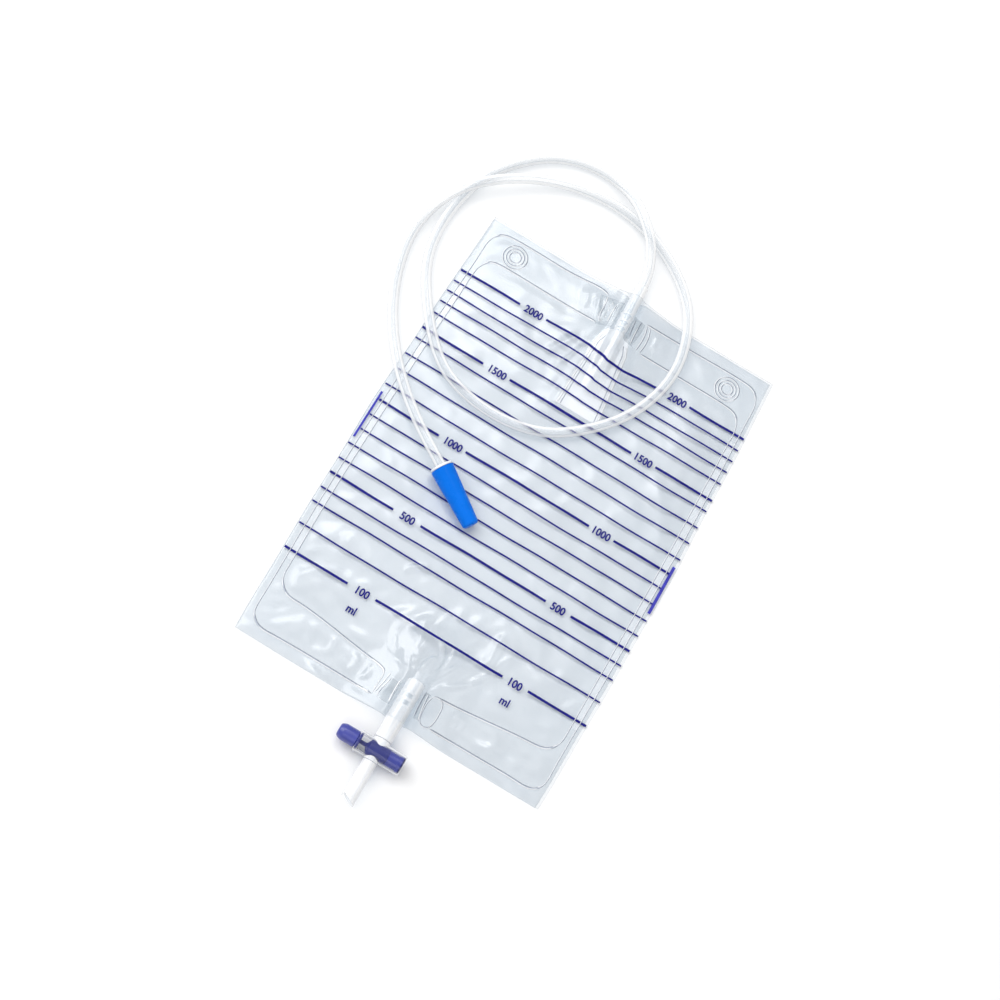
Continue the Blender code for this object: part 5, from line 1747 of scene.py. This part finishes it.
class DRAINAGEBAG_OT_tube(bpy.types.Operator):
    """Clear hollow inlet tube along its whole length, from the inlet port to the connector"""
    bl_idname = "drainage_bag.tube"
    bl_label = "Inlet tube"

    def execute(self, context):
        sizes = context.scene.drainage_bag_sizes
        line = tube_line(TUBE_POINTS)
        line[:, 1] += BAG_BOTTOM
        mesh = self.hollow(line, TUBE_RADIUS, sizes.tube_bore / 2, sizes.tube_sides)
        piece = add_piece("shown_inlet_tube", mesh, "bag",
                          clear_plastic("clear_tube_plastic"), ["inlet_tube"])
        outside = len(line) * sizes.tube_sides
        share_faces(mesh, [clear_plastic("clear_bore")],
                    lambda face: min(face.vertices) >= outside)
        return {"FINISHED"}

    def hollow(self, line, outer, inner, sides):
        count = len(line)
        along = np.gradient(line, axis=0)
        along /= np.linalg.norm(along, axis=1)[:, None]
        normal = np.cross(along[0], (0.0, 0.0, 1.0))
        normal /= np.linalg.norm(normal)
        angles = np.linspace(0, 2 * np.pi, sides, endpoint=False)
        rings = {outer: [], inner: []}
        for i in range(count):
            normal = normal - along[i] * (normal @ along[i])
            normal /= np.linalg.norm(normal)
            other = np.cross(along[i], normal)
            for radius, ring in rings.items():
                ring.append(line[i] + radius * (np.cos(angles)[:, None] * normal
                                                + np.sin(angles)[:, None] * other))
        verts = np.concatenate([np.concatenate(rings[outer]), np.concatenate(rings[inner])])
        under = count * sides
        faces = []
        for i in range(count - 1):
            for k in range(sides):
                n = (k + 1) % sides
                a, b, c, d = i * sides + k, i * sides + n, (i + 1) * sides + n, (i + 1) * sides + k
                faces.append((a, b, c, d))
                faces.append((d + under, c + under, b + under, a + under))
        for base, flip in ((0, True), ((count - 1) * sides, False)):
            for k in range(sides):
                n = (k + 1) % sides
                face = (base + k, base + n, base + n + under, base + k + under)
                faces.append(face[::-1] if flip else face)
        mesh = closed_mesh("shown_inlet_tube", verts.tolist(), faces)
        finish_mesh(mesh, TUBE_SHARP)
        return mesh


# Floor, lights and camera


# Each lamp's place, target, size and power
LAMPS = {
    "key_softbox": ((-1.30, 0.25, 1.55), (0.0, 0.05, 0.0), (1.5, 1.5), 25.0),
    "front_softbox": ((0.35, -1.60, 1.60), (0.0, 0.0, 0.0), (1.6, 1.2), 7.0),
    "side_softbox": ((1.50, 0.35, 1.40), (0.0, 0.05, 0.0), (1.0, 1.0), 4.0),
    "sheen_softbox": ((-0.08, 0.50, 1.5), (0.0, 0.0, 0.0), (0.76, 0.96), 2.0),
    "mirror_softbox": ((-0.33, 0.86, 1.5), (-0.03, 0.08, 0.0), (0.50, 0.46), 3.6),
}
ROOM_LIGHT = 0.49


def add_light(name, place, target, size, power):
    data = bpy.data.lights.new(name, "AREA")
    data.shape = "RECTANGLE"
    data.size, data.size_y = size
    data.energy = power
    light = new_object(name, data)
    light.location = place
    light.rotation_mode = "QUATERNION"
    light.rotation_quaternion = (Vector(target) - Vector(place)).to_track_quat("-Z", "Y")


class DRAINAGEBAG_OT_stage(bpy.types.Operator):
    """Pale floor, soft lights and the camera"""
    bl_idname = "drainage_bag.stage"
    bl_label = "Stage"

    def execute(self, context):
        scene = context.scene
        bm = bmesh.new()
        bmesh.ops.create_grid(bm, x_segments=8, y_segments=8, size=4.0)
        mesh = mesh_of("stage_floor", bm)
        floor = new_object("stage_floor", mesh)
        floor.location = (0.0, 0.0, -0.0003)
        mesh.materials.append(floor_material())

        world = bpy.data.worlds.new("pale_room")
        world.use_nodes = True
        set_inputs(world.node_tree, world.node_tree.nodes["Background"], {
            "Color": (1.0, 1.0, 1.0, 1.0), "Strength": ROOM_LIGHT})
        scene.world = world
        for name, settings in LAMPS.items():
            add_light(name, *settings)

        data = bpy.data.cameras.new("camera")
        data.lens = CAMERA_LENS
        data.sensor_width = CAMERA_SENSOR
        data.clip_start = 0.01
        camera = new_object("camera", data)
        back = CAMERA_RIGHT.cross(CAMERA_UP)
        turn = Matrix((CAMERA_RIGHT, CAMERA_UP, back)).transposed().to_4x4()
        camera.matrix_world = Matrix.Translation(CAMERA_AT) @ turn
        scene.camera = camera
        scene.view_settings.view_transform = "Standard"
        scene.cycles.max_bounces = 8
        scene.cycles.transmission_bounces = 8
        scene.cycles.transparent_max_bounces = 32
        return {"FINISHED"}


OPERATORS = (
    DRAINAGEBAG_OT_films,
    DRAINAGEBAG_OT_seams,
    DRAINAGEBAG_OT_graduations,
    DRAINAGEBAG_OT_reflux_valve,
    DRAINAGEBAG_OT_ports,
    DRAINAGEBAG_OT_drain_valve,
    DRAINAGEBAG_OT_connector,
    DRAINAGEBAG_OT_tube,
    DRAINAGEBAG_OT_stage,
)


class DRAINAGEBAG_PT_pieces(bpy.types.Panel):
    """Lists the bag's pieces, sizes and colours"""
    bl_label = "Drainage bag"
    bl_idname = "DRAINAGEBAG_PT_pieces"
    bl_space_type = "VIEW_3D"
    bl_region_type = "UI"
    bl_category = "Drainage bag"

    def draw(self, context):
        layout = self.layout
        for settings in (context.scene.drainage_bag_sizes, context.scene.drainage_bag_colours):
            box = layout.box()
            for key in settings.bl_rna.properties.keys():
                if key not in ("rna_type", "name"):
                    box.prop(settings, key)
        column = layout.column()
        for operator in OPERATORS:
            column.operator(operator.bl_idname)


CLASSES = (DrainageBagSizes, DrainageBagColours, *OPERATORS, DRAINAGEBAG_PT_pieces)


def register():
    for item in CLASSES:
        bpy.utils.register_class(item)
    bpy.types.Scene.drainage_bag_sizes = bpy.props.PointerProperty(type=DrainageBagSizes)
    bpy.types.Scene.drainage_bag_colours = bpy.props.PointerProperty(type=DrainageBagColours)


def unregister():
    del bpy.types.Scene.drainage_bag_colours
    del bpy.types.Scene.drainage_bag_sizes
    for item in reversed(CLASSES):
        bpy.utils.unregister_class(item)


def main():
    register()
    bpy.ops.drainage_bag.films()
    bpy.ops.drainage_bag.seams()
    bpy.ops.drainage_bag.graduations()
    bpy.ops.drainage_bag.reflux_valve()
    bpy.ops.drainage_bag.ports()
    bpy.ops.drainage_bag.drain_valve()
    bpy.ops.drainage_bag.connector()
    bpy.ops.drainage_bag.tube()
    bpy.ops.drainage_bag.stage()


if __name__ == "__main__":
    main()
